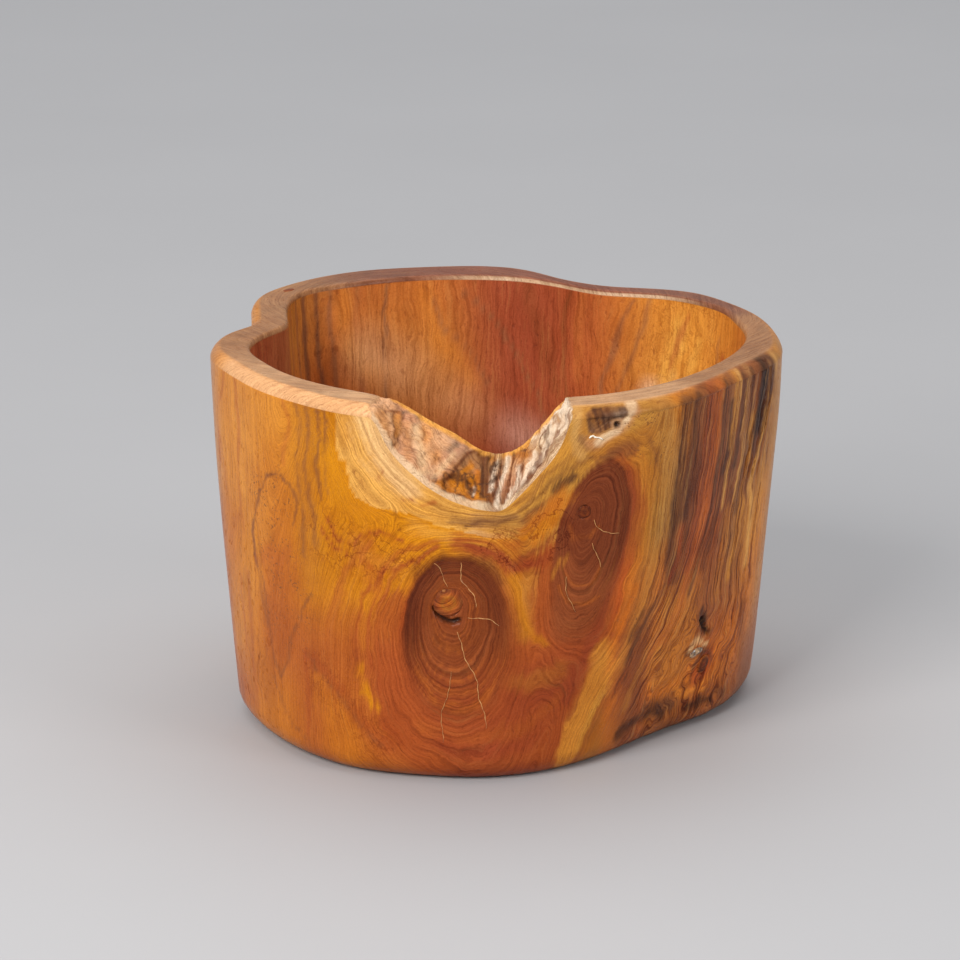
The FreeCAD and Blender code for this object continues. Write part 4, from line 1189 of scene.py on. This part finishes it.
def grid_faces(rows, columns, first=0):
    """Four-sided faces of a grid of points whose rows close on themselves."""
    faces = []
    for row in range(rows - 1):
        for column in range(columns):
            beside = (column + 1) % columns
            here = first + row * columns
            faces.append((here + column, here + beside, here + columns + beside, here + columns + column))
    return faces


def fan_faces(centre, first, count, turned=False):
    """Triangles from a centre point to a closed ring of points; turned flips them."""
    pairs = [(first + here, first + (here + 1) % count) for here in range(count)]
    return [(centre, there, here) if turned else (centre, here, there) for here, there in pairs]


def stack_faces(rings, sides):
    """Faces of a stack of rings, closed by a first and a last centre point listed after them."""
    last = (rings - 1) * sides
    top = rings * sides
    ends = fan_faces(top, 0, sides, turned=True) + fan_faces(top + 1, last, sides)
    return grid_faces(rings, sides) + ends


def zip_rings(lower, lower_angles, upper, upper_angles):
    """Triangles between two rings that share a curve but not their spacing."""
    lower_order = np.argsort(lower_angles)
    upper_order = np.argsort(upper_angles)
    lower_at = np.append(lower_angles[lower_order], lower_angles[lower_order[0]] + 360.0)
    upper_at = np.append(upper_angles[upper_order], upper_angles[upper_order[0]] + 360.0)
    faces, i, j = [], 0, 0
    while i < len(lower_order) or j < len(upper_order):
        here = lower + int(lower_order[i % len(lower_order)])
        there = upper + int(upper_order[j % len(upper_order)])
        step_lower = j >= len(upper_order) or (i < len(lower_order) and lower_at[i + 1] <= upper_at[j + 1])
        if step_lower:
            i += 1
            faces.append((here, lower + int(lower_order[i % len(lower_order)]), there))
        else:
            j += 1
            faces.append((here, upper + int(upper_order[j % len(upper_order)]), there))
    return faces


def build_body():
    """The carved wood: shell and lining joined at the wall's inner edge, closed below and inside."""
    faces = grid_faces(shell_rows, shell_columns) + grid_faces(lining_rows, lining_columns, shell_count)
    last_shell = (shell_rows - 1) * shell_columns
    faces += zip_rings(last_shell, shell_angles, shell_count, lining_angles)
    under, floor = len(skin), len(skin) + 1
    last_lining = shell_count + (lining_rows - 1) * lining_columns
    faces += fan_faces(under, 0, shell_columns, turned=True)
    faces += fan_faces(floor, last_lining, lining_columns)
    points = np.vstack([skin, [[0.0, 0.0, 0.0], [0.0, 0.0, FLOOR_THICKNESS]]])

    def ends(values):
        return np.concatenate([values, values[:1], values[-1:]])

    gains = np.clip(np.stack([ring_gain, streak_gain, pits, face_part], axis=-1), 0.0, 1.0)
    attributes = wood_attributes(ends(tone), ends(gains), ends(phase))
    return add_mesh("body", points, faces, attributes + [("crackle", "FLOAT", ends(crackle))])


def wood_attributes(tones, gains, phases):
    """The named per-point values that the wood material reads."""
    return [("tone", "FLOAT_COLOR", with_alpha(tones)), ("gain", "FLOAT_COLOR", gains),
            ("phase", "FLOAT", phases)]


def wall_place(u, z, out=0.0):
    """A point on the outer wall, moved out along the radius."""
    angle = 270.0 + np.degrees(np.asarray(u, float) / UNROLL)
    z = np.asarray(z, float)
    r = wall_radius(angle, z) + out
    return np.stack([r * np.cos(np.radians(angle)), r * np.sin(np.radians(angle)), z], axis=-1)


PLUG_RINGS = 12
PLUG_SIDES = 56


def build_plug(name, knot, tilt, dome, tones, ring_mm):
    """A dead knot: a low dome in the wall with its own rings, closed underneath."""
    centre_u, centre_z, half_width, half_height = knot
    spokes = np.linspace(0.0, 2.0 * math.pi, PLUG_SIDES, endpoint=False)
    wobble = 1.0 + 0.045 * np.sin(2.0 * spokes + 0.7) + 0.03 * np.sin(5.0 * spokes + centre_u)
    cos, sin = math.cos(math.radians(tilt)), math.sin(math.radians(tilt))
    shells = [(part, dome * (1.0 - part**2) + KNOT_PROUD - 0.25 * part**8)
              for part in np.linspace(0.0, 1.0, PLUG_RINGS + 1)[1:]]
    shells += [(0.97, -0.9), (0.90, 0.2 - KNOT_DEPTH), (0.45, -KNOT_DEPTH)]
    points, tints, phases, gains = [], [], [], []
    for part, out in shells:
        x = half_width * part * wobble * np.cos(spokes)
        y = half_height * part * wobble * np.sin(spokes)
        u, z = centre_u + x * cos + y * sin, centre_z - x * sin + y * cos
        ripple = 0.10 * np.sin(7.0 * spokes + 9.0 * part) * part * (1.0 - part)
        points.append(wall_place(u, z, out + ripple))
        mix = np.interp(part, np.linspace(0.0, 1.0, len(tones)), np.arange(len(tones)))
        low = min(int(mix), len(tones) - 2)
        base = COLOURS[tones[low]] * (1.0 - mix + low) + COLOURS[tones[low + 1]] * (mix - low)
        patch = 1.0 + 0.22 * np.sin(3.0 * spokes + 5.0 * part) * part
        tints.append(base[None, :] * patch[:, None])
        off_x, off_y = part * np.cos(spokes) + 0.55, part * np.sin(spokes) - 0.75
        phases.append(ring_mm * np.hypot(off_x, off_y) + 0.5 * np.sin(3.0 * spokes) * part)
        gains.append(np.tile([0.75, 0.45, 0.25, 0.15], (PLUG_SIDES, 1)))
    faces = [face[::-1] for face in stack_faces(len(shells), PLUG_SIDES)]
    crown = wall_place(centre_u, centre_z, dome + KNOT_PROUD)
    root = wall_place(centre_u, centre_z, -KNOT_DEPTH)
    points = np.vstack(points + [crown, root])
    tints = np.vstack(tints + [[COLOURS[tones[0]]], [COLOURS[tones[-1]]]])
    phases = np.concatenate(phases + [[0.93 * ring_mm], [ring_mm]])
    gains = np.vstack(gains + [gains[0][:1], gains[0][:1]])
    return add_mesh(name, points, faces, wood_attributes(tints, gains, phases))


def build_seam(name, path, half_width, proud, depth):
    """A thread of filler pressed into a drying check: tapered, a little wavy, closed."""
    points_in = np.array(path, float)
    length = np.concatenate([[0.0], np.cumsum(np.hypot(*np.diff(points_in, axis=0).T))])
    count = max(int(length[-1] / 0.9), 8)
    at = np.linspace(0.0, length[-1], count)
    u = np.interp(at, length, points_in[:, 0])
    z = np.interp(at, length, points_in[:, 1])
    sway = 0.45 * np.sin(at * 0.31 + path[0][0]) + 0.16 * np.sin(at * 1.1 + path[0][1])
    du, dz = np.gradient(u), np.gradient(z)
    span = np.hypot(du, dz)
    side_u, side_z = -dz / span, du / span
    u, z = u + sway * side_u, z + sway * side_z
    taper = np.minimum(1.0, 0.35 + np.minimum(at, length[-1] - at) / 5.0)
    width = half_width * taper * (1.0 + 0.3 * np.sin(at * 0.8 + path[0][1]) + 0.25 * np.sin(at * 2.1))
    outline = [(-1.0, -0.05), (-0.55, proud), (0.55, proud), (1.0, -0.05), (0.5, -depth), (-0.5, -depth)]
    rings = [wall_place(u + across_part * width * side_u, z + across_part * width * side_z, out)
             for across_part, out in outline]
    points = np.stack(rings, axis=1).reshape(-1, 3)
    sides = len(outline)
    faces = [tuple(range(sides)), tuple(range((count - 1) * sides, count * sides))[::-1]]
    for station in range(count - 1):
        for corner in range(sides):
            beside = (corner + 1) % sides
            here, ahead = station * sides, (station + 1) * sides
            faces.append((here + corner, ahead + corner, ahead + beside, here + beside))
    return add_mesh(name, points, faces)


# ---------------------------------------------------------------- materials

WOOD_SPECULAR = 0.10            # low, so that the pale floor doesn't grey the wood


def new_material(name):
    """A material, its node tree, its shader and the place in space that its patterns read."""
    material = bpy.data.materials.new(name)
    material.use_nodes = True
    tree = material.node_tree
    place = tree.nodes.new("ShaderNodeTexCoord").outputs["Object"]
    return material, tree, tree.nodes["Principled BSDF"], place


def node(tree, kind, sockets=(), **settings):
    """Adds one node; sockets maps an input's name or number to a value or to an output."""
    made = tree.nodes.new(kind)
    for key, value in settings.items():
        setattr(made, key, value)
    for key, value in dict(sockets).items():
        if isinstance(value, bpy.types.NodeSocket):
            tree.links.new(value, made.inputs[key])
        else:
            made.inputs[key].default_value = value
    return made


def math_of(tree, operation, *values):
    """The output of one Math node."""
    return node(tree, "ShaderNodeMath", dict(enumerate(values)), operation=operation).outputs[0]


def span_of(tree, value, low, high, to_low=0.0, to_high=1.0):
    """A value carried smoothly from one range to another."""
    sockets = {"Value": value, "From Min": low, "From Max": high, "To Min": to_low, "To Max": to_high}
    return node(tree, "ShaderNodeMapRange", sockets, interpolation_type="SMOOTHSTEP").outputs["Result"]


def noise_of(tree, dimensions, scale, detail, vector=None, w=None, roughness=0.55):
    """A noise texture's value at a place, an extra coordinate, or both."""
    sockets = {"Scale": scale, "Detail": detail, "Roughness": roughness}
    if vector is not None:
        sockets["Vector"] = vector
    made = node(tree, "ShaderNodeTexNoise", sockets, noise_dimensions=dimensions)
    if w is not None:
        tree.links.new(w, made.inputs["W"])
    return made.outputs["Fac"]


def tint_of(tree, colour, factor, share_of, blend="MIX"):
    """Mixes colour towards factor by the given share."""
    made = node(tree, "ShaderNodeMix", {}, data_type="RGBA", blend_type=blend)
    for socket, value in (("A_Color", colour), ("B_Color", factor), ("Factor_Float", share_of)):
        target = next(s for s in made.inputs if s.identifier == socket)
        if isinstance(value, bpy.types.NodeSocket):
            tree.links.new(value, target)
        else:
            target.default_value = value
    return next(s for s in made.outputs if s.identifier == "Result_Color")


def finish_surface(tree, shader, colour, roughness, relief, strength, distance):
    """Links a colour, a roughness and a bump to the shader; distance is in metres."""
    tree.links.new(colour, shader.inputs["Base Color"])
    tree.links.new(roughness, shader.inputs["Roughness"])
    bump = node(tree, "ShaderNodeBump", {"Height": relief, "Strength": strength, "Distance": distance})
    tree.links.new(bump.outputs["Normal"], shader.inputs["Normal"])


def wood_material(name, roughness, coat):
    """Lacquered wood: painted tone, growth-ring lines, streaks, pores, pits and their relief."""
    material, tree, shader, place = new_material(name)
    tone_in = node(tree, "ShaderNodeAttribute", attribute_name="tone").outputs["Color"]
    phase_in = node(tree, "ShaderNodeAttribute", attribute_name="phase").outputs["Fac"]
    gain = node(tree, "ShaderNodeAttribute", attribute_name="gain")
    parts = node(tree, "ShaderNodeSeparateColor", {"Color": gain.outputs["Color"]})
    ring_share, streak_share, pit_share = (parts.outputs[k] for k in ("Red", "Green", "Blue"))
    torn_share = gain.outputs["Alpha"]

    drift = noise_of(tree, "3D", 90.0, 4.0, vector=place)
    grown_mm = math_of(tree, "MULTIPLY_ADD", drift, 3.0, phase_in)

    band_w = math_of(tree, "MULTIPLY", grown_mm, 0.62)
    bands = span_of(tree, noise_of(tree, "1D", 1.0, 4.0, w=band_w, roughness=0.75), 0.66, 0.34)
    line_w = math_of(tree, "MULTIPLY", grown_mm, 0.26)
    level = noise_of(tree, "1D", 1.0, 1.0, w=line_w, roughness=0.5)
    near_line = math_of(tree, "ABSOLUTE", math_of(tree, "SUBTRACT", level, 0.5))
    lines = span_of(tree, near_line, 0.028, 0.0)
    fade = span_of(tree, noise_of(tree, "3D", 55.0, 2.0, vector=place), 0.38, 0.62)
    lines = math_of(tree, "MULTIPLY", lines, math_of(tree, "MULTIPLY_ADD", fade, 0.8, 0.2))

    # a noise node scales its extra coordinate too, so each factor is per millimetre over that scale
    streak_w = math_of(tree, "MULTIPLY", grown_mm, 0.5 / 17.0)
    streaks = noise_of(tree, "4D", 17.0, 6.0, vector=place, w=streak_w, roughness=0.72)
    dark_streaks = span_of(tree, streaks, 0.50, 0.38)
    pale_streaks = span_of(tree, streaks, 0.53, 0.64)
    hair_w = math_of(tree, "MULTIPLY", grown_mm, 1.5 / 42.0)
    hairs = noise_of(tree, "4D", 42.0, 2.0, vector=place, w=hair_w, roughness=0.6)
    dark_hairs = span_of(tree, hairs, 0.50, 0.37)
    pore_w = math_of(tree, "MULTIPLY", grown_mm, 1.3 / 230.0)
    pores = span_of(tree, noise_of(tree, "4D", 230.0, 1.0, vector=place, w=pore_w), 0.58, 0.70)
    pit_spots = span_of(tree, noise_of(tree, "3D", 720.0, 1.0, vector=place), 0.60, 0.68)
    clusters = span_of(tree, noise_of(tree, "3D", 110.0, 2.0, vector=place), 0.42, 0.56)
    crackle_share = node(tree, "ShaderNodeAttribute", attribute_name="crackle").outputs["Fac"]
    veins = noise_of(tree, "3D", 62.0, 4.0, vector=place, roughness=0.6)
    vein_lines = span_of(tree, math_of(tree, "ABSOLUTE", math_of(tree, "SUBTRACT", veins, 0.5)), 0.022, 0.0)
    vein_lines = math_of(tree, "MULTIPLY", vein_lines, crackle_share)
    vein_clouds = math_of(tree, "MULTIPLY", span_of(tree, veins, 0.50, 0.40), crackle_share)
    pit_marks = math_of(tree, "MULTIPLY", math_of(tree, "MULTIPLY", pit_spots, clusters), pit_share)
    cloud = noise_of(tree, "3D", 38.0, 4.0, vector=place, roughness=0.6)

    dark_share = math_of(tree, "MULTIPLY", dark_streaks, streak_share)
    pale_gain = math_of(tree, "MULTIPLY", streak_share, 0.42)
    hair_gain = math_of(tree, "MULTIPLY_ADD", streak_share, 0.75, 0.06)
    speck = noise_of(tree, "3D", 1100.0, 2.0, vector=place)
    layers = [                  # tint, where it lies, how strong it is, how it mixes
        ((0.50, 0.38, 0.30, 1.0), bands, ring_share, "MULTIPLY"),
        ((0.36, 0.25, 0.20, 1.0), lines, ring_share, "MULTIPLY"),
        ((0.34, 0.20, 0.13, 1.0), dark_share, 1.0, "MULTIPLY"),
        ((0.66, 0.36, 0.11, 1.0), pale_streaks, pale_gain, "MIX"),
        ((0.46, 0.31, 0.22, 1.0), dark_hairs, hair_gain, "MULTIPLY"),
        ((0.55, 0.40, 0.32, 1.0), pores, 0.42, "MULTIPLY"),
        ((0.46, 0.27, 0.20, 1.0), vein_lines, 0.8, "MULTIPLY"),
        ((0.74, 0.55, 0.42, 1.0), vein_clouds, 0.6, "MULTIPLY"),
        ((0.20, 0.075, 0.025, 1.0), pit_marks, 0.8, "MIX"),
        ((0.70, 0.54, 0.42, 1.0), span_of(tree, cloud, 0.30, 0.72), 0.42, "MULTIPLY"),
        ((0.72, 0.62, 0.52, 1.0), span_of(tree, speck, 0.42, 0.66), 0.4, "MULTIPLY"),
    ]
    colour = tone_in
    for tint, mark, strength, blend in layers:
        colour = tint_of(tree, colour, tint, math_of(tree, "MULTIPLY", mark, strength), blend)

    wear = noise_of(tree, "3D", 70.0, 4.0, vector=place)
    sheen = math_of(tree, "MULTIPLY_ADD", wear, 0.16, roughness - 0.08)
    sheen = math_of(tree, "MULTIPLY_ADD", pores, 0.18, sheen)
    sheen = math_of(tree, "MULTIPLY_ADD", torn_share, 0.16, sheen)
    shader.inputs["Specular IOR Level"].default_value = WOOD_SPECULAR
    shader.inputs["Coat Weight"].default_value = coat
    shader.inputs["Coat Roughness"].default_value = 0.14

    relief = noise_of(tree, "3D", 420.0, 3.0, vector=place)
    for mark, depth in ((pores, -0.55), (lines, -0.35), (dark_share, -1.2), (pit_marks, -0.9)):
        relief = math_of(tree, "MULTIPLY_ADD", mark, depth, relief)
    torn_fibres = math_of(tree, "MULTIPLY", streaks, math_of(tree, "MULTIPLY", torn_share, 5.0))
    relief = math_of(tree, "ADD", relief, torn_fibres)
    finish_surface(tree, shader, colour, sheen, relief, 0.55, 0.00022)
    return material


def filler_material():
    """Light, slightly dirty filler."""
    material, tree, shader, place = new_material("pale_filler")
    grain = noise_of(tree, "3D", 900.0, 4.0, vector=place)
    dirt = span_of(tree, noise_of(tree, "3D", 260.0, 3.0, vector=place), 0.45, 0.65)
    colour = tint_of(tree, (0.50, 0.21, 0.06, 1.0), (0.68, 0.37, 0.13, 1.0), grain)
    colour = tint_of(tree, colour, (0.30, 0.12, 0.045, 1.0), math_of(tree, "MULTIPLY", dirt, 0.75))
    shader.inputs["Coat Weight"].default_value = 0.1
    finish_surface(tree, shader, colour, span_of(tree, grain, 0.3, 0.7, 0.35, 0.6), grain, 0.5, 0.0001)
    return material


def chip_material():
    """White filler."""
    material, tree, shader, place = new_material("white_chip")
    grain = noise_of(tree, "3D", 700.0, 4.0, vector=place)
    colour = tint_of(tree, (0.78, 0.66, 0.50, 1.0), (0.93, 0.88, 0.78, 1.0), grain)
    finish_surface(tree, shader, colour, span_of(tree, grain, 0.3, 0.7, 0.3, 0.55), grain, 0.6, 0.0002)
    return material


def resin_material():
    """Dark, glossy set resin."""
    material, tree, shader, place = new_material("set_resin")
    swirl = noise_of(tree, "3D", 420.0, 3.0, vector=place)
    swirled = span_of(tree, swirl, 0.35, 0.65)
    colour = tint_of(tree, (0.10, 0.055, 0.03, 1.0), (0.46, 0.27, 0.13, 1.0), swirled)
    shader.inputs["Coat Weight"].default_value = 0.8
    shader.inputs["Coat Roughness"].default_value = 0.03
    finish_surface(tree, shader, colour, span_of(tree, swirl, 0.3, 0.7, 0.05, 0.16), swirl, 0.4, 0.0004)
    return material


# ---------------------------------------------------------------- the pieces


def place_piece(item, cad_node, material):
    """Gives a piece its material and stands it in for its CAD node."""
    item.data.materials.append(material)
    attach(item, "root")
    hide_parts(cad_node)
    return item


root_wood = wood_material("lacquered_root_wood", 0.30, 0.03)
knot_wood = wood_material("knot_wood", 0.32, 0.03)
filler = filler_material()

place_piece(build_body(), "bowl_body", root_wood)

PLUGS = {                       # tilt in degrees, height of the dome, tones outwards, growth across
    "knot_front_left": (12.0, 0.55, ("orange", "copper", "bronze", "burnt", "redbrown", "heart"), 12.0),
    "knot_front_right": (0.0, 0.15, ("heartdark", "deep", "heart", "deep", "heartdark"), 6.0),
    "knot_lower_right": (28.0, 0.35, ("brick", "heart", "heartdark", "copper"), 8.0),
}
for name, (tilt, dome, tones, ring_mm) in PLUGS.items():
    plug = build_plug(name.replace("knot", "plug"), KNOTS[name], tilt, dome, tones, ring_mm)
    place_piece(plug, name, knot_wood)

CHECKS = {
    "fill_left_1": [(-30.0, 118.7), (-26.9, 116.0), (-24.3, 109.5), (-23.3, 106.3)],
    "fill_left_2": [(-17.5, 119.4), (-16.9, 110.6), (-13.7, 106.2), (-11.0, 101.2), (-10.0, 95.6)],
    "fill_left_3": [(-13.8, 90.4), (-9.4, 89.6), (-5.0, 89.0), (-1.9, 87.9), (1.2, 85.6)],
    "fill_left_4": [(-19.1, 82.5), (-17.5, 76.2), (-15.6, 70.0), (-11.9, 61.2), (-9.4, 54.4),
                    (-8.1, 45.6), (-4.6, 30.2)],
    "fill_left_5": [(-21.6, 61.2), (-22.1, 55.0), (-24.1, 48.7), (-26.2, 40.0), (-26.9, 31.2),
                    (-26.0, 22.5)],
    "fill_right_1": [(47.4, 139.6), (49.6, 135.6), (52.5, 133.1), (56.2, 130.9), (61.0, 130.4)],
    "fill_right_2": [(46.6, 126.9), (48.7, 123.1), (51.0, 118.7), (51.9, 113.1)],
    "fill_right_3": [(34.1, 110.0), (35.0, 100.0), (36.9, 95.0), (39.4, 90.0)],
}
CHECK_HALF_WIDTH = {"fill_left_2": 0.22, "fill_left_3": 0.22, "fill_left_4": 0.18, "fill_right_1": 0.16}
HAIRLINE = 0.12                 # half width of the other checks
FILLER_DEPTH = 1.2
for name, path in CHECKS.items():
    half_width = CHECK_HALF_WIDTH.get(name, HAIRLINE)
    seam = build_seam(name.replace("fill", "seam"), path, half_width, 0.35, FILLER_DEPTH)
    place_piece(seam, name, filler)

CHIP = [(43.8, 183.6), (45.4, 184.9), (46.4, 183.6), (48.4, 183.0), (50.2, 182.2)]
chip = build_seam("white_chip", CHIP, 0.6, 0.5, FILLER_DEPTH)
place_piece(chip, "filler_chip", chip_material())


def build_bead(name, centre_u, centre_z, half_width, half_height, rise):
    """A set drop of resin with an uneven edge and crown."""
    rings, sides = 9, 36
    spokes = np.linspace(0.0, 2.0 * math.pi, sides, endpoint=False)
    edge = 1.0 + 0.16 * np.sin(2.0 * spokes + 0.4) + 0.1 * np.sin(3.0 * spokes + 2.0)
    points = []
    for part in np.linspace(0.0, 1.0, rings + 1)[1:]:
        hump = rise * (1.0 - part**2) + 0.3 * np.sin(2.0 * spokes + 4.0 * part) * (1.0 - part)
        points.append(wall_place(centre_u + half_width * part * edge * np.cos(spokes),
                                 centre_z + half_height * part * edge * np.sin(spokes), hump + 0.1))
    points.append(wall_place(centre_u + 0.9 * half_width * edge * np.cos(spokes),
                             centre_z + 0.9 * half_height * edge * np.sin(spokes), -1.4))
    ends = wall_place([centre_u, centre_u], [centre_z, centre_z], [rise + 0.1, -1.5])
    faces = [face[::-1] for face in stack_faces(rings + 1, sides)]
    return add_mesh(name, np.concatenate(points + [ends]), faces)


bead = build_bead("resin_drop", across_at(323.4), 45.5, 5.4, 2.6, 1.2)
place_piece(bead, "resin_bead", resin_material())


PIN_ANGLE = 141.3
PIN_RADIUS = 146.3              # from the outlines' centre to the pin's
PIN_HALF_WIDTH = 2.6
PIN_TOP = HEIGHT + 0.5
PIN_FOOT = HEIGHT - 3.1


def build_rim_pin():
    """The pin knot in the flat rim at the back left: a low ringed button."""
    sides, rings = 32, 6
    spokes = np.linspace(0.0, 2.0 * math.pi, sides, endpoint=False)
    out = np.array([math.cos(math.radians(PIN_ANGLE)), math.sin(math.radians(PIN_ANGLE))])
    along = np.array([-out[1], out[0]])
    shells = [(part, PIN_TOP - 0.35 * part**2) for part in np.linspace(0.0, 1.0, rings + 1)[1:]]
    shells.append((0.9, PIN_FOOT + 0.1))
    points, tints, phases = [], [], []
    for part, z in shells:
        x = PIN_HALF_WIDTH * 1.5 * part * np.cos(spokes)
        y = PIN_HALF_WIDTH * 0.8 * part * np.sin(spokes)
        flat = PIN_RADIUS * out + x[:, None] * along + y[:, None] * out
        points.append(np.column_stack([flat, np.full(sides, z)]))
        tints.append(np.tile(COLOURS["brown"] * (1.0 - part) + COLOURS["redbrown"] * part, (sides, 1)))
        phases.append(np.full(sides, 6.0 * part))
    ends = [[*(PIN_RADIUS * out), PIN_TOP], [*(PIN_RADIUS * out), PIN_FOOT]]
    points = np.vstack(points + [ends])
    tints = np.vstack(tints + [[COLOURS["umber"]], [COLOURS["umber"]]])
    phases = np.concatenate(phases + [[0.0, 0.0]])
    gains = np.tile([0.7, 0.3, 0.2, 0.1], (len(points), 1))
    faces = stack_faces(len(shells), sides)
    return add_mesh("rim_pin", points, faces, wood_attributes(tints, gains, phases))


place_piece(build_rim_pin(), "knot_rim", knot_wood)

# ---------------------------------------------------------------- floor, light and camera (metres)


FLOOR_REACH = 8.0
LENS = 172.5                    # millimetres, on a sensor 36 wide
CAMERA_PLACE = (-0.00905, -2.3762, 0.8038)
CAMERA_DOWN = 16.1              # degrees below level
BOWL_MIDDLE = (0.0, 0.0, 0.1)


def build_floor():
    """The plain pale floor."""
    mesh = bpy.data.meshes.new("floor")
    corners = [(FLOOR_REACH * x, FLOOR_REACH * y, 0.0) for x, y in ((-1, -1), (1, -1), (1, 1), (-1, 1))]
    mesh.from_pydata(corners, [], [(0, 1, 2, 3)])
    item = bpy.data.objects.new("floor", mesh)
    bpy.context.scene.collection.objects.link(item)
    material, tree, shader, place = new_material("pale_floor")
    mottle = noise_of(tree, "3D", 3.0, 4.0, vector=place)
    colour = tint_of(tree, (0.42, 0.42, 0.43, 1.0), (0.45, 0.45, 0.46, 1.0), mottle)
    tree.links.new(colour, shader.inputs["Base Color"])
    shader.inputs["Roughness"].default_value = 0.6
    shader.inputs["Specular IOR Level"].default_value = 0.25
    item.data.materials.append(material)


def add_light(name, place, target, width, length, watts, colour):
    """A soft rectangular light aimed at a target."""
    light = bpy.data.lights.new(name, "AREA")
    light.shape = "RECTANGLE"
    light.size, light.size_y = width, length
    light.energy = watts
    light.color = colour
    item = bpy.data.objects.new(name, light)
    item.location = place
    item.rotation_euler = (Vector(target) - Vector(place)).to_track_quat("-Z", "Y").to_euler()
    bpy.context.scene.collection.objects.link(item)


def build_lights():
    """Key, overhead and fill lights, and a dim even sky."""
    add_light("key", (-1.2, -1.9, 1.5), BOWL_MIDDLE, 1.3, 1.3, 66.0, (1.0, 0.97, 0.94))
    add_light("overhead", (0.0, 2.0, 4.0), (0.0, 1.9, 0.0), 5.0, 5.0, 135.0, (1.0, 0.99, 0.98))
    add_light("fill", (1.9, -1.4, 0.9), BOWL_MIDDLE, 1.0, 1.2, 18.0, (1.0, 0.98, 0.96))
    world = bpy.data.worlds.new("studio")
    world.use_nodes = True
    sky = world.node_tree.nodes["Background"]
    sky.inputs["Color"].default_value = (0.92, 0.95, 1.0, 1.0)
    sky.inputs["Strength"].default_value = 0.34
    bpy.context.scene.world = world


def build_camera():
    """A long lens at the front, looking a little down."""
    data = bpy.data.cameras.new("camera")
    data.lens = LENS
    data.sensor_width = 36.0
    data.clip_end = 50.0
    item = bpy.data.objects.new("camera", data)
    item.location = CAMERA_PLACE
    item.rotation_euler = (math.radians(90.0 - CAMERA_DOWN), 0.0, 0.0)
    bpy.context.scene.collection.objects.link(item)
    bpy.context.scene.camera = item


build_floor()
build_lights()
build_camera()
bpy.context.scene.view_settings.view_transform = "Standard"
